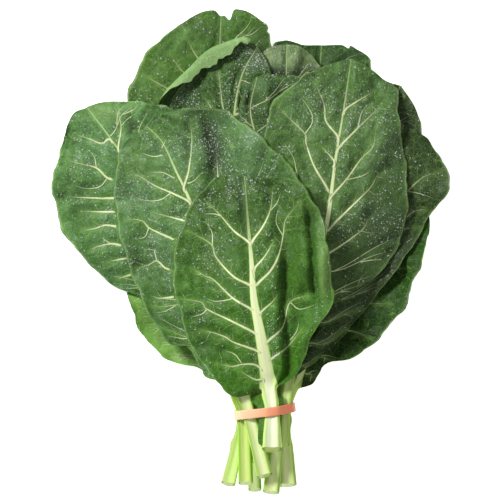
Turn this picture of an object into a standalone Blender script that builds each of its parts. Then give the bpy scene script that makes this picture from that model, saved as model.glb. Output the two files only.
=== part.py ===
"""A bunch of collard greens: thirteen cut leaves tied round the stalks with a flat rubber band, lying on its back.

Each leaf is one solid: stalk, midrib and blade. Plan places are millimetres from the middle of the bunch, +X to the
viewer's right and +Y towards the leaf tips. The leaves are listed from the lowest up, and each is laid on those below.
"""

import bpy
import numpy as np

MM = 0.001

# Blade and stalk
BLADE_THICKNESS = 0.9
AIR_GAP = 0.8
STALK_DEPTH = 0.72  # of the stalk's width
STALK_CROWN = 0.3  # share of that depth above the stalk's widest line
STALK_GROOVE = 0.1  # of the stalk's width
STALK_NARROWS = 1.4  # pace at which it goes from its cut width to its upper one
RIB_DEPTH = 0.5  # bulge under the blade, of the midrib's width
RIB_TIP_WIDTH = 1.6
RIB_SUNK = 2.2  # how far the midrib lies below the blade beside it
RIB_SUNK_WIDTH = 9.0
FULL_WIDTH = 35.0  # of a half blade that cups and waves in full
RIM_LIFT = 1.6  # by which the margins stand up
RIM_LIFTS_BY = 0.5  # share of the blade
LEFT_TURN = 0.37  # of a wave, by which the left half differs from the right one
CALM_BASE = 0.2  # share of the blade in which its waves set in
WING_WIDTH = 4.0  # the least, beside the midrib
WING_FOOT = 1.35  # where a margin starts, in half widths of the midrib
ROLL_HEM = 4.0  # width of a rolled margin's columns where it lies flat
RIB_COLUMNS = (-1.2, -0.6, 0.0, 0.6, 1.2)  # of the midrib's half width
BLADE_COLUMNS = (0.16, 0.37, 0.58, 0.79, 1.0)  # of the way from midrib to margin
ROLL_COLUMNS = 6
ROLL_TURN = np.radians(184)  # after which the rolled margin lies straight
ROLL_TAPER = 0.3  # of its width, towards the tip
ROLL_TAPER_FROM = 0.8  # share of the blade
ROLL_LEAST = 0.05  # strength below which a rolled margin no longer widens its bend
STALK_ROWS = (0.0, 0.3, 0.56, 0.8)  # of the way from the cut end to the blade
BASE_BLEND = 0.1  # share of the blade in which the stalk turns into midrib and wings
MARGIN_AT_TIP = 0.92  # share of the margin that side veins reach; the tip row follows the rest
MARGIN_LEAD = 0.45  # how far side veins run forward, more so above the base of the blade
VEIN_BOW = 0.1

# Laying one leaf on another
CELL = 1.0
FIELD = 260.0
SAMPLES = 12
LIFT_REACH = 30.0
LIFT_SMOOTHING = 8.0
PRESSED_FLAT = 0.5  # lowest parts of a blade, flattened against the table
RIB_PRESSED_FLAT = 1.7  # and of a midrib or stalk

# Rubber band
BAND_WIDTH = 8.0
BAND_THICKNESS = 1.3
BAND_CLEARANCE = 0.4
BAND_MIDDLE_Y = -141.0
BAND_MIDDLE_X = 11.0
BAND_SLANT = np.radians(8.0)
BAND_SIDES = 44
FLOOR_GAP = 0.3  # left under the band

LEAF_GREEN = (0.05, 0.16, 0.04)
LEAF_ROUGHNESS = 0.5
BAND_ORANGE = (0.85, 0.4, 0.25)
BAND_ROUGHNESS = 0.6

# Rib points run from the cut end through the band to the blade's base, the third point, and on to the tip. Margins run
# from the base to the tip. Heights in millimetres: arch is the midrib's rise, tip its end, cup the two margins.
LEAVES = [
    dict(
        name="leaf_back_top",
        rib=[(14, -190), (10, -142), (14, -118), (32, -43), (48, 54), (59, 133), (62, 183)],
        left=[(15, -69), (4, 10), (1, 89), (8, 151), (18, 182), (29, 187), (40, 185), (47, 183)],
        right=[(39, -87), (78, -34), (106, 45), (111, 125), (105, 167), (93, 180), (82, 183)],
        stalk=(11, 10), arch=-3, tip=1, cup=(2, -4), wave=(3, 3.5), phase=0.1, rows=9,
    ),
    dict(
        name="leaf_back_right",
        rib=[(24, -208), (22, -142), (27, -122), (45, -60), (82, 28), (116, 107), (132, 147)],
        left=[(29, -87), (29, -34), (47, 37), (78, 107), (106, 140), (123, 148)],
        right=[(47, -100), (91, -52), (137, 23), (152, 85), (147, 122)],
        stalk=(11, 10), arch=0, tip=6, cup=(0, 5), wave=(4, 3), phase=0.6, rows=9,
    ),
    dict(
        name="leaf_low_left",
        rib=[(-21, -207), (-8, -146), (-15, -121), (-41, -80), (-72, -43), (-98, -9), (-116, 21)],
        left=[(-29, -117), (-45, -104), (-65, -99), (-81, -91), (-97, -73), (-106, -52), (-112, -29), (-119, 1)],
        right=[(-12, -87), (-21, -43), (-45, 1), (-76, 26), (-100, 33)],
        stalk=(13, 9), arch=2, tip=-2, cup=(4, -3), wave=(3, 3), phase=0.3, rows=9,
    ),
    dict(
        name="leaf_top_left",
        rib=[(3, -212), (0, -143), (-2, -120), (-10, -43), (-23, 63), (-29, 142), (-27, 209)],
        left=[(-12, -103), (-45, -51), (-85, 37), (-105, 98), (-110, 135), (-102, 160), (-88, 182), (-65, 200),
              (-47, 211), (-33, 214)],
        right=[(9, -87), (25, -16), (29, 72), (24, 142), (18, 182), (13, 200), (0, 211), (-13, 215), (-20, 213)],
        stalk=(12, 10.5), arch=4, tip=0, cup=(-6, 6), wave=(4, 4), phase=0.45, rows=12,
    ),
    dict(
        name="leaf_low_right",
        rib=[(32, -206), (29, -141), (35, -122), (50, -87), (71, -43), (103, 0), (135, 28), (156, 38)],
        left=[(29, -82), (43, -25), (73, 26), (113, 51), (141, 51)],
        right=[(47, -127), (54, -117), (67, -99), (88, -94), (106, -82), (122, -65), (136, -47), (142, -29),
               (152, -3), (157, 21)],
        stalk=(16, 10.5), arch=0, tip=6, cup=(2, 24), wave=(4, 4), phase=0.2, rows=11,
    ),
    dict(
        name="leaf_top_middle",
        rib=[(13, -166), (15, -142), (14, -120), (17, -43), (25, 54), (30, 133), (31, 183)],
        left=[(6, -87), (-10, -25), (-14, 63), (-5, 138), (8, 172), (18, 181)],
        right=[(29, -87), (62, -25), (76, 63), (73, 129), (59, 166), (50, 176), (40, 182)],
        stalk=(11, 10), arch=4, tip=4, cup=(-5, -5), wave=(3, 3), phase=0.7, rows=9,
    ),
    dict(
        name="leaf_far_right",
        rib=[(17, -213), (26, -141), (29, -118), (52, -65), (92, 10), (120, 72), (135, 112)],
        left=[(22, -82), (34, -29), (65, 41), (100, 94), (124, 119)],
        right=[(43, -109), (82, -73), (128, -16), (148, 14), (161, 37), (173, 51), (176, 61), (170, 77), (159, 96),
               (148, 105)],
        stalk=(15, 11), arch=4, tip=4, cup=(4, -4), wave=(4, 3), phase=0.0, rows=11,
    ),
    dict(
        name="leaf_top_curled",
        rib=[(5, -186), (4, -143), (1, -120), (-7, -43), (-14, 45), (-16, 107), (-10, 151), (5, 181)],
        left=[(-14, -95), (-41, -43), (-72, 37), (-83, 94), (-77, 127), (-72, 142), (-58, 159), (-40, 177),
              (-22, 185), (-5, 189)],
        right=[(6, -87), (21, -25), (29, 54), (26, 125), (15, 163)],
        stalk=(11, 10), arch=4, tip=2, cup=(-4, -6), wave=(3, 4), phase=0.35, rows=13,
        roll=dict(side="left", width=21, radius=4.6, start=0.46, full=0.78, reach=0.98),
    ),
    dict(
        name="leaf_left_outer",
        rib=[(-5, -205), (-7, -145), (-13, -124), (-32, -73), (-65, -9), (-96, 50), (-117, 89), (-146, 128)],
        left=[(-26, -115), (-59, -69), (-98, -41), (-125, -29), (-149, -5), (-168, 19), (-176, 52), (-176, 70),
              (-170, 86), (-166, 103), (-158, 122)],
        right=[(-7, -87), (-7, -34), (-19, 37), (-44, 98), (-69, 125), (-89, 131), (-117, 133), (-133, 132)],
        stalk=(13, 11), arch=8, tip=-4, cup=(-10, -2), wave=(4, 4), phase=0.8, rows=13,
    ),
    dict(
        name="leaf_top_centre",
        rib=[(9, -168), (8, -143), (8, -120), (12, -43), (10, 45), (4, 98), (-1, 126), (5, 154)],
        left=[(0, -87), (-12, -25), (-18, 54), (-13, 116), (-6, 141)],
        right=[(19, -87), (43, -34), (62, 45), (65, 116), (53, 149), (25, 156)],
        stalk=(10, 9), arch=6, tip=0, cup=(-6, 2), wave=(4, 3), phase=0.55, rows=10,
    ),
    dict(
        name="leaf_right_inner",
        rib=[(29, -171), (30, -139), (32, -120), (39, -69), (51, -21), (66, 25), (74, 81), (81, 123), (88, 170)],
        left=[(22, -82), (13, -25), (7, 45), (12, 107), (20, 132), (40, 150), (66, 164)],
        right=[(45, -84), (66, -50), (92, -34), (117, -15), (133, 14), (138, 45), (136, 81), (130, 118),
               (130, 143), (117, 152), (101, 164)],
        stalk=(9, 9), arch=8, tip=-4, cup=(-2, -19), wave=(4, 4), phase=0.15, rows=14,
    ),
    dict(
        name="leaf_left_inner",
        rib=[(12, -198), (-2, -142), (-9, -120), (-20, -78), (-32, -34), (-52, 38), (-67, 72), (-79, 97), (-92, 110)],
        left=[(-19, -123), (-37, -113), (-45, -101), (-58, -84), (-73, -81), (-87, -61), (-97, -42), (-108, -14),
              (-118, 23), (-121, 59), (-116, 89), (-105, 102)],
        right=[(6, -87), (34, -43), (55, 10), (52, 46), (34, 76), (15, 95), (-1, 109), (-23, 124), (-50, 126),
               (-73, 123)],
        stalk=(14, 11), arch=9, tip=-6, cup=(-6, -4), wave=(4, 4), phase=0.62, rows=14,
        folds=[dict(side="right", at=0.42, width=0.16, depth=9, middle=0.85, length=0.35)],
    ),
    dict(
        name="leaf_front",
        rib=[(18, -171), (18, -140), (16, -124), (12, -97), (7, -69), (2, -41), (0, -9), (-3, 26), (-6, 66)],
        left=[(-5, -132), (-26, -120), (-40, -101), (-52, -86), (-61, -60), (-69, -25), (-66, 7), (-52, 43),
              (-33, 63), (-19, 68)],
        right=[(30, -125), (38, -109), (48, -92), (51, -76), (67, -53), (72, -38), (68, -7), (63, 26), (50, 51),
               (36, 63), (13, 66)],
        stalk=(17.5, 12.5), arch=10, tip=-8, cup=(-4, 4), wave=(3, 4), phase=0.25, rows=15,
        folds=[dict(side="right", at=0.5, width=0.17, depth=13, middle=0.5, length=0.45)],
    ),
]


def curve_through(points, steps=12):
    """A smooth curve through the given points, as closely spaced points."""
    p = np.array(points, float)
    p = np.vstack([2 * p[0] - p[1], p, 2 * p[-1] - p[-2]])
    t = np.linspace(0, 1, steps, endpoint=False)[:, None]
    spans = []
    for a, b, c, d in zip(p, p[1:], p[2:], p[3:]):
        spans.append(b + (c - a) * t / 2 + (a - 2.5 * b + 2 * c - d / 2) * t**2 + (3 * (b - c) + d - a) * t**3 / 2)
    return np.vstack([*spans, p[-2:-1]])


def at(curve, shares):
    """Points of a curve at shares of its length."""
    steps = np.linalg.norm(np.diff(curve, axis=0), axis=1)
    reach = np.concatenate([[0], np.cumsum(steps)])
    where = np.asarray(shares) * reach[-1]
    return np.stack([np.interp(where, reach, curve[:, k]) for k in range(curve.shape[1])], -1)


def to_the_right(curve, shares):
    """Unit plan directions square to the curve, on its right."""
    ahead = at(curve, np.minimum(np.asarray(shares) + 0.01, 1)) - at(curve, np.maximum(np.asarray(shares) - 0.01, 0))
    ahead /= np.linalg.norm(ahead, axis=-1, keepdims=True)
    return np.stack([ahead[..., 1], -ahead[..., 0]], -1)


def ease(x):
    x = np.clip(x, 0, 1)
    return x * x * (3 - 2 * x)


def rolls(leaf, side):
    return leaf.get("roll", {}).get("side") == side


def columns_of(leaf):
    """Column marks from the left margin to the right one: (side, place), with place in midrib half widths inside."""
    left = [("left", t) for t in BLADE_COLUMNS[::-1]]
    right = [("right", t) for t in BLADE_COLUMNS]
    extra = [1 + (k + 1) / ROLL_COLUMNS for k in range(ROLL_COLUMNS)]
    if rolls(leaf, "left"):
        left = [("left", t) for t in extra[::-1]] + left
    if rolls(leaf, "right"):
        right = right + [("right", t) for t in extra]
    return left + [("rib", t) for t in RIB_COLUMNS] + right


def rib_half_width(leaf, v):
    return (leaf["stalk"][1] * (1 - v) ** 1.1 + RIB_TIP_WIDTH) / 2


def natural_height(leaf, v, place, side, width):
    """How a blade would stand by itself, in millimetres above its stalk, where it is so wide from midrib to margin."""
    cup = leaf["cup"][0 if side == "left" else 1]
    turn = leaf["phase"] + (LEFT_TURN if side == "left" else 0)
    amplitude, count = leaf["wave"]
    height = leaf["arch"] * np.sin(np.pi * v**0.8) + leaf["tip"] * v**3
    height += RIB_SUNK * (1 - np.exp(-place * width / RIB_SUNK_WIDTH)) * np.sin(np.pi * min(1, v + 0.15))
    bend = cup * place**1.6 * np.sin(np.pi * (0.12 + 0.8 * v))
    bend += amplitude * place**2 * np.sin(2 * np.pi * (count * v + turn)) * ease(v / CALM_BASE)
    bend += RIM_LIFT * place**5 * ease(v / RIM_LIFTS_BY)
    height += bend * ease(width / FULL_WIDTH)
    for fold in leaf.get("folds", ()):
        if fold["side"] == side:
            across = (place - fold["at"]) / fold["width"]
            along = (v - fold["middle"]) / fold["length"]
            height -= fold["depth"] * np.exp(-(across**2) - along**2)
    return height


def rolled(roll, v, place):
    """How far a place in the half with the rolled margin moves inwards and up from the flat blade's."""
    strength = ease((v - roll["start"]) / (roll["full"] - roll["start"]))
    hem = 1 + (ROLL_HEM - 1) * ease((v - BASE_BLEND) / BASE_BLEND)
    inward = (hem * (1 - strength) + roll["radius"] * strength) * min(place, 1) ** 3
    if place <= 1:
        return inward, 0.0
    width = roll["width"] * (1 - ROLL_TAPER * ease((v - ROLL_TAPER_FROM) / (1 - ROLL_TAPER_FROM)))
    run = (place - 1) * (hem + (width - hem) * strength)
    bend = roll["radius"] / max(strength, ROLL_LEAST)
    turned = min(run / bend, ROLL_TURN)
    return inward + run - bend * (turned + np.sin(turned)), bend * (1 - np.cos(turned))


def blade_row(leaf, lines, v):
    """Top points of the blade across one row, which runs as a side vein does."""
    rib, margins = lines["rib"], lines["margins"]
    middle, across = at(rib, v), to_the_right(rib, v)
    ahead = np.array([-across[1], across[0]])
    row = []
    for side, place in columns_of(leaf):
        half = rib_half_width(leaf, v)
        if side == "rib":
            plan = middle + across * place * half
            row.append([*plan, natural_height(leaf, v, 0, "right", 0)])
            continue
        sign = -1 if side == "left" else 1
        inner = middle + sign * RIB_COLUMNS[-1] * half * across
        last = leaf["roll"]["reach"] if rolls(leaf, side) else MARGIN_AT_TIP
        reach = last * (v + MARGIN_LEAD * v * (1 - v) * ease(v / 0.3))
        outer = at(margins[side], reach)
        wing = (outer - inner) @ across * sign
        outer = outer + sign * across * max(0, WING_WIDTH * ease(v / BASE_BLEND) - wing)
        span = min(place, 1)
        plan = inner + (outer - inner) * span
        plan = plan - ahead * VEIN_BOW * np.linalg.norm(outer - inner) * 4 * span * (1 - span) * (1 - v)
        rim = at(margins[side], 1 - span * (1 - last))
        chord = at(rib, 1) + (at(margins[side], last) - at(rib, 1)) * span
        plan = plan + (rim - chord) * v**8
        height = natural_height(leaf, v, span, side, np.linalg.norm(outer - inner))
        if rolls(leaf, side):
            inward, up = rolled(leaf["roll"], v, place)
            plan = plan - sign * inward * to_the_right(margins[side], reach)
            height += up
        row.append([*plan, height])
    return np.array(row)


def stalk_section(half_width, columns):
    """(sideways, up) of the top and bottom points round a stalk: flat and grooved above, round below."""
    turn = np.radians(np.linspace(172, 8, columns))
    depth = 2 * half_width * STALK_DEPTH
    sideways = half_width * np.sign(np.cos(turn)) * np.abs(np.cos(turn)) ** 0.9
    groove = 2 * half_width * STALK_GROOVE * np.exp(-((sideways / (0.45 * half_width)) ** 2))
    up = depth * STALK_CROWN * np.sin(turn) ** 0.6 - groove
    down = -depth * (1 - STALK_CROWN) * np.sin(turn) ** 0.9
    return np.stack([sideways, up], -1), np.stack([sideways, down], -1)


def thickness_directions(grid, upright):
    """Unit directions out of a grid's upper side: its normals, leant towards straight up in the upright columns."""
    along = np.gradient(grid, axis=0)
    across = np.gradient(grid, axis=1)
    normal = np.cross(across, along)
    normal /= np.linalg.norm(normal, axis=-1, keepdims=True)
    normal[..., 2] += upright
    return normal / np.linalg.norm(normal, axis=-1, keepdims=True)


def leaf_surfaces(leaf):
    """Top and bottom grids of one leaf as it would stand by itself, and how stalk-like each row is."""
    whole = curve_through(leaf["rib"])
    steps = (len(whole) - 1) // (len(leaf["rib"]) - 1)
    stalk_line, rib = whole[: 2 * steps + 1], whole[2 * steps :]
    foot = WING_FOOT * rib_half_width(leaf, 0) * to_the_right(rib, 0.0)
    margins = dict(
        left=curve_through([rib[0] - foot, *leaf["left"], rib[-1]]),
        right=curve_through([rib[0] + foot, *leaf["right"], rib[-1]]),
    )
    lines = dict(rib=rib, margins=margins)
    columns = columns_of(leaf)

    blade = np.array([blade_row(leaf, lines, v) for v in np.linspace(0, 1, leaf["rows"] + 1)])
    up = thickness_directions(blade, np.array([side == "rib" or place <= 1 for side, place in columns]))
    bulge = np.zeros(len(columns))
    for k, (side, place) in enumerate(columns):
        if side == "rib":
            bulge[k] = 1 - (place / RIB_COLUMNS[-1]) ** 2
    top, bottom, stalkness = [], [], []

    cut_width, base_width = leaf["stalk"]
    for share in STALK_ROWS:
        half = (cut_width + (base_width - cut_width) * ease(share * STALK_NARROWS)) / 2
        over, under = stalk_section(half, len(columns))
        middle, across = at(stalk_line, share), to_the_right(stalk_line, share)
        top.append([[*(middle + across * s), h] for s, h in over])
        bottom.append([[*(middle + across * s), h] for s, h in under])
        stalkness.append(1.0)
    for k, v in enumerate(np.linspace(0, 1, leaf["rows"] + 1)):
        half = rib_half_width(leaf, v)
        share = 1 - ease(v / BASE_BLEND)
        flat_top = blade[k]
        flat_bottom = blade[k] - up[k] * BLADE_THICKNESS
        flat_bottom[:, 2] -= bulge * RIB_DEPTH * 2 * half
        over, under = stalk_section(half, len(columns))
        middle, across = at(rib, v), to_the_right(rib, v)
        round_top = np.array([[*(middle + across * s), h] for s, h in over])
        round_bottom = np.array([[*(middle + across * s), h] for s, h in under])
        top.append(share * round_top + (1 - share) * flat_top)
        bottom.append(share * round_bottom + (1 - share) * flat_bottom)
        stalkness.append(share)
    return np.array(top), np.array(bottom), np.array(stalkness)


def finer(grid):
    """A grid's facets, sampled closely in both directions."""
    for axis in (0, 1):
        n = grid.shape[axis]
        where = np.linspace(0, n - 1, (n - 1) * SAMPLES + 1)
        low = np.minimum(where.astype(int), n - 2)
        part = (where - low).reshape([-1 if a == axis else 1 for a in range(grid.ndim)])
        grid = np.take(grid, low, axis) * (1 - part) + np.take(grid, low + 1, axis) * part
    return grid


def cell_of(points):
    return tuple(np.clip(((points[..., k] + FIELD) / CELL).astype(int), 0, int(2 * FIELD / CELL) - 1) for k in (0, 1))


def widened(pile):
    """The pile's heights, each spread to the cells beside it."""
    tall = pile.copy()
    for axis in (0, 1):
        tall = np.maximum(tall, np.maximum(np.roll(tall, 1, axis), np.roll(tall, -1, axis)))
    return tall


def spread(points, need):
    """A lift that meets the need at every point and eases off round it, as a stiff leaf's would."""
    away = np.linalg.norm(points[:, None] - points[None], axis=-1)
    return np.max(need[None] * np.exp(-((away / LIFT_REACH) ** 2) / 2), axis=1)


def lay(top, bottom, stalkness, pile):
    """Lifts a leaf just clear of the pile below it, and returns the lift at each point of its grid."""
    rows, columns = top.shape[:2]
    low = np.minimum(finer(bottom)[..., 2], finer(top)[..., 2])
    over = widened(pile)
    need_fine = np.maximum(
        over[cell_of(finer(bottom))] - finer(bottom)[..., 2], over[cell_of(finer(top))] - low)
    need = np.zeros((rows, columns))
    for r in range(rows):
        for c in range(columns):
            near = need_fine[max(0, (r - 1) * SAMPLES) : (r + 1) * SAMPLES + 1,
                             max(0, (c - 1) * SAMPLES) : (c + 1) * SAMPLES + 1]
            need[r, c] = near.max()
    rigid = stalkness[:, None] > 0.5
    need = np.where(rigid, need.max(axis=1, keepdims=True), need)
    points = top[..., :2].reshape(-1, 2)
    middle = np.repeat(top[:, columns // 2, :2], columns, axis=0)
    points = np.where(np.repeat(stalkness, columns)[:, None] > 0.5, middle, points)
    need = need.reshape(-1)
    floor = need.min()
    lift = spread(points, need - floor)
    away = np.linalg.norm(points[:, None] - points[None], axis=-1)
    weight = np.exp(-((away / LIFT_SMOOTHING) ** 2) / 2)
    lift = weight @ lift / weight.sum(axis=1)
    lift += spread(points, np.maximum(0, need - floor - lift))
    return (lift + floor).reshape(rows, columns)


def under_band(y):
    """Whether the band passes below, at some place across."""
    return np.abs(y - BAND_MIDDLE_Y) < BAND_WIDTH


def stack_leaves():
    """Top and bottom grids of every leaf, each laid on those before it."""
    cells = int(2 * FIELD / CELL)
    pile = np.zeros((cells, cells))
    pile[:, under_band(np.arange(cells) * CELL - FIELD)] = BAND_CLEARANCE + BAND_THICKNESS + FLOOR_GAP
    laid = []
    for leaf in LEAVES:
        top, bottom, stalkness = leaf_surfaces(leaf)
        lift = lay(top, bottom, stalkness, pile)
        top[..., 2] += lift
        bottom[..., 2] += lift
        under_rib = np.array([side == "rib" and abs(place) < 1 for side, place in columns_of(leaf)])
        press = np.where(under_rib, RIB_PRESSED_FLAT, PRESSED_FLAT)
        bottom[..., 2] = np.where(bottom[..., 2] < press, 0, bottom[..., 2])
        tops = np.maximum(finer(top)[..., 2], finer(bottom)[..., 2])
        np.maximum.at(pile, cell_of(finer(top)), tops + AIR_GAP)
        np.maximum.at(pile, cell_of(finer(bottom)), tops + AIR_GAP)
        laid.append((top, bottom))
    return laid


def closed_solid(top, bottom):
    """Vertices and triangles of the solid between two grids. Both faces are split along the same diagonals."""
    rows, columns = top.shape[:2]
    vertices = np.vstack([top.reshape(-1, 3), bottom.reshape(-1, 3)])
    under = rows * columns
    faces = []

    def index(r, c):
        return r * columns + c

    for r in range(rows - 1):
        for c in range(columns - 1):
            a, b, d, e = index(r, c), index(r, c + 1), index(r + 1, c + 1), index(r + 1, c)
            if c < columns // 2:
                cut = [(a, b, e), (b, d, e)]
            else:
                cut = [(a, b, d), (a, d, e)]
            faces += cut
            faces += [(x + under, z + under, y + under) for x, y, z in cut]
    rim = [index(0, c) for c in range(columns)]
    rim += [index(r, columns - 1) for r in range(1, rows)]
    rim += [index(rows - 1, c) for c in range(columns - 2, -1, -1)]
    rim += [index(r, 0) for r in range(rows - 2, 0, -1)]
    for a, b in zip(rim, rim[1:] + rim[:1]):
        faces += [(a, a + under, b), (b, a + under, b + under)]
    return vertices, faces


def new_object(name, vertices, faces, colour, roughness):
    mesh = bpy.data.meshes.new(name)
    mesh.from_pydata([tuple(v * MM) for v in np.asarray(vertices, float)], [], faces)
    mesh.validate()
    mesh.shade_smooth()
    material = bpy.data.materials.new(name)
    material.use_nodes = True
    shader = material.node_tree.nodes["Principled BSDF"]
    shader.inputs["Base Color"].default_value = (*colour, 1)
    shader.inputs["Roughness"].default_value = roughness
    mesh.materials.append(material)
    thing = bpy.data.objects.new(name, mesh)
    bpy.context.scene.collection.objects.link(thing)
    return thing


def within_band(solids, centre, along, across):
    """Outline points of all that lies inside the band's width: (sideways, up) from the band's centre."""
    found = []
    for vertices, faces in solids:
        away = (vertices - centre) @ along
        sides = np.array([[f[i], f[(i + 1) % 3]] for f in faces for i in range(3)])
        inside = vertices[np.abs(away) <= BAND_WIDTH / 2]
        found.append(inside)
        for level in (-BAND_WIDTH / 2, BAND_WIDTH / 2):
            a, b = away[sides[:, 0]], away[sides[:, 1]]
            crossing = (a - level) * (b - level) < 0
            part = ((level - a) / np.where(crossing, b - a, 1))[crossing]
            ends = vertices[sides[crossing]]
            found.append(ends[:, 0] + (ends[:, 1] - ends[:, 0]) * part[:, None])
    points = np.vstack(found) - centre
    return np.stack([points @ across, points[:, 2]], -1)


def rubber_band(solids):
    """A flat loop pulled tight round everything at the band's place."""
    across = np.array([np.cos(BAND_SLANT), np.sin(BAND_SLANT), 0])
    along = np.array([-np.sin(BAND_SLANT), np.cos(BAND_SLANT), 0])
    centre = np.array([BAND_MIDDLE_X, BAND_MIDDLE_Y, 0])
    outline = within_band(solids, centre, along, across)
    turns = np.linspace(0, 2 * np.pi, BAND_SIDES, endpoint=False)
    facing = np.stack([np.cos(turns), np.sin(turns)], -1)
    support = outline[np.argmax(outline @ facing.T, axis=0)]
    rings = []
    for level in (-BAND_WIDTH / 2, BAND_WIDTH / 2):
        for out in (BAND_CLEARANCE, BAND_CLEARANCE + BAND_THICKNESS):
            ring = support + facing * out
            rings.append(centre + ring[:, :1] * across + ring[:, 1:] * [0, 0, 1] + along * level)
    vertices = np.vstack(rings)
    faces = []
    low_in, low_out, high_in, high_out = (k * BAND_SIDES for k in range(4))
    for k in range(BAND_SIDES):
        n = (k + 1) % BAND_SIDES
        for a, b in ((low_in, high_in), (high_in, high_out), (high_out, low_out), (low_out, low_in)):
            faces += [(a + k, a + n, b + k), (a + n, b + n, b + k)]
    return vertices, faces


def main():
    for thing in list(bpy.data.objects):
        bpy.data.objects.remove(thing)
    solids = [closed_solid(top, bottom) for top, bottom in stack_leaves()]
    band_vertices, band_faces = rubber_band(solids)
    every = np.vstack([vertices for vertices, faces in solids])
    middle = (every.min(axis=0) + every.max(axis=0)) / 2 * [1, 1, 0]
    for leaf, (vertices, faces) in zip(LEAVES, solids):
        new_object(leaf["name"], vertices - middle, faces, LEAF_GREEN, LEAF_ROUGHNESS)
    new_object("rubber_band", band_vertices - middle, band_faces, BAND_ORANGE, BAND_ROUGHNESS)


main()
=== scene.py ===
"""A bunch of collard greens tied with a flat rubber band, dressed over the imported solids, seen from above.

Each leaf is drawn again finely over its own solid. It takes that solid's height off the table, and gets
puffed blades between its veins, a ragged margin, raised veins on both faces, and its own finish. Lengths
are in millimetres.
"""

import bpy
import numpy as np
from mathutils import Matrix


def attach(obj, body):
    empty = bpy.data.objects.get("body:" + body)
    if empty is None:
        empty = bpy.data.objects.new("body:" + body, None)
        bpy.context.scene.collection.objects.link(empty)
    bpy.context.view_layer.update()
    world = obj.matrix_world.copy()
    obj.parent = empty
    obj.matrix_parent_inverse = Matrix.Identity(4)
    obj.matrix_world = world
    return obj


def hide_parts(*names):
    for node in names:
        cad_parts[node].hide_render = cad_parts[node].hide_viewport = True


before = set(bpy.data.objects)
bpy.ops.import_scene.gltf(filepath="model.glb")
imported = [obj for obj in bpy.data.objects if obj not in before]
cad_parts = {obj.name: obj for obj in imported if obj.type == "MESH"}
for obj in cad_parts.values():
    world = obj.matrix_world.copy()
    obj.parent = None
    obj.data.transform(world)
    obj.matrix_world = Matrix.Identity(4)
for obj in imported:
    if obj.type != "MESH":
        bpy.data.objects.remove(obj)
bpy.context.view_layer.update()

MM = 0.001
PIXEL = 0.88  # of the bunch, for one pixel of the photograph
PHOTO_MIDDLE = 251.5  # the photograph's pixel over the middle of the plan, both ways

# The leaf shapes, as the solids have them
BLADE_THICKNESS = 0.9
STALK_DEPTH = 0.72
STALK_NARROWS = 1.4  # how soon a stalk has its width at the blade
STALK_CROWN = 0.3
STALK_GROOVE = 0.1
SOLID_FLATNESS = 0.6  # of the top of a stalk's section: lower is flatter
RIB_DEPTH = 0.5
RIB_TIP_WIDTH = 1.6
RIB_SUNK = 2.2
RIB_SUNK_WIDTH = 9.0
FULL_WIDTH = 35.0
RIM_LIFT = 1.6
RIM_LIFTS_BY = 0.5
LEFT_TURN = 0.37  # of the waves on the left, past those on the right
CALM_BASE = 0.2  # share of the blade over which the waves grow
WING_FOOT = 1.35  # of the midrib's half width, where the margins begin
WING_WIDTH = 4.0
ROLL_HEM = 4.0
RIB_EDGE = 1.2  # of the midrib's half width
RIB_COLUMNS = np.array([-1.2, -0.6, 0.0, 0.6, 1.2])
BLADE_COLUMNS = np.array([0.16, 0.37, 0.58, 0.79, 1.0])
ROLL_COLUMNS = np.arange(1, 7) / 6
ROLL_TURN = np.radians(184)
ROLL_TAPER = 0.3
ROLL_TAPER_FROM = 0.8  # of the blade, and the share of it over which it narrows
ROLL_TAPER_BY = 0.2
ROLL_LEAST = 0.05
STALK_ROWS = np.array([0.0, 0.3, 0.56, 0.8])
BASE_BLEND = 0.1
MARGIN_AT_TIP = 0.92
MARGIN_LEAD = 0.45
VEIN_BOW = 0.1
CURVE_STEPS = 12
MATCH = 0.08  # how near in plan a solid's corner lies to its own place

# The finer leaves
FINE_RIB = np.linspace(-RIB_EDGE, RIB_EDGE, 15)
FINE_BLADE = np.append(np.arange(1, 34) / 34, [0.985, 1.0])
FINE_ROLL = np.arange(1, 19) / 18
FINE_STALK_ROWS = np.linspace(0, 0.97, 26)
BLADE_THIN = 0.7
EDGE_THIN = 0.35
FINE_FLATNESS = 1.0
OPEN_LEAF_ROWS = 125
COVERED_LEAF_ROWS = 84
ROLL_SPARE = 0.06
ROLL_JAGS = ((0.1, 29, 2), (0.07, 71, 1), (0.04, 170, 0))  # of the rolled strip: size, count and turn
RAGGED = ((37, 0.9), (19, 0.45), (10.5, 0.2), (5.3, 0.1))  # lengths and heights of a margin's small waves
SMOOTH_FOOT = 12  # of a margin, and past it how soon the small waves are whole
RAGGED_BY = 40
PUFF = 2.4  # of the blade between its veins
PUFF_WIDTH = 5
RIB_RAISED = 0.7
HALO_WIDTH = 2.4  # of the paler blade beside the larger veins
CELL = 1.0  # of the map of what lies below each leaf
FIELD = 260.0
TOUCH = 0.7  # clear air between leaves
COVERED = 1.5  # how far below another leaf a blade has no drops
DROPS_FROM = 1.1  # of the midrib's half width
VEIN_LEAVES_EARLY = 3  # rows below its first visible place, at which a side vein parts from the midrib
VEIN_REACH = 16.0
VEIN_WIDTHS = (3.7, 0.8)  # at the root and at the end
TWIG_WIDTHS = (1.4, 0.6)
FORK_WIDTHS = (1.1, 0.5)
BRANCH_WIDTHS = (0.85, 0.3)
VEIN_RISE = dict(top=0.22, bottom=0.8)
# A vein's section
RIDGE = np.array([(-1, -0.15), (-0.55, 0.65), (0, 1), (0.55, 0.65), (1, -0.15), (0, -0.5)])
BRANCHING = 1.9  # width at its root above which a vein has side branches
LEAST_BELOW = 1.15  # width at its root above which a vein also shows on the underside
CREASE_SHADE_AND_LIGHT = 0.055  # painted shade in a crease for each millimetre of its depth; a ridge is painted lighter, as painted light
WING_COLUMNS = 7
WING_DROOP = 1.5
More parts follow.
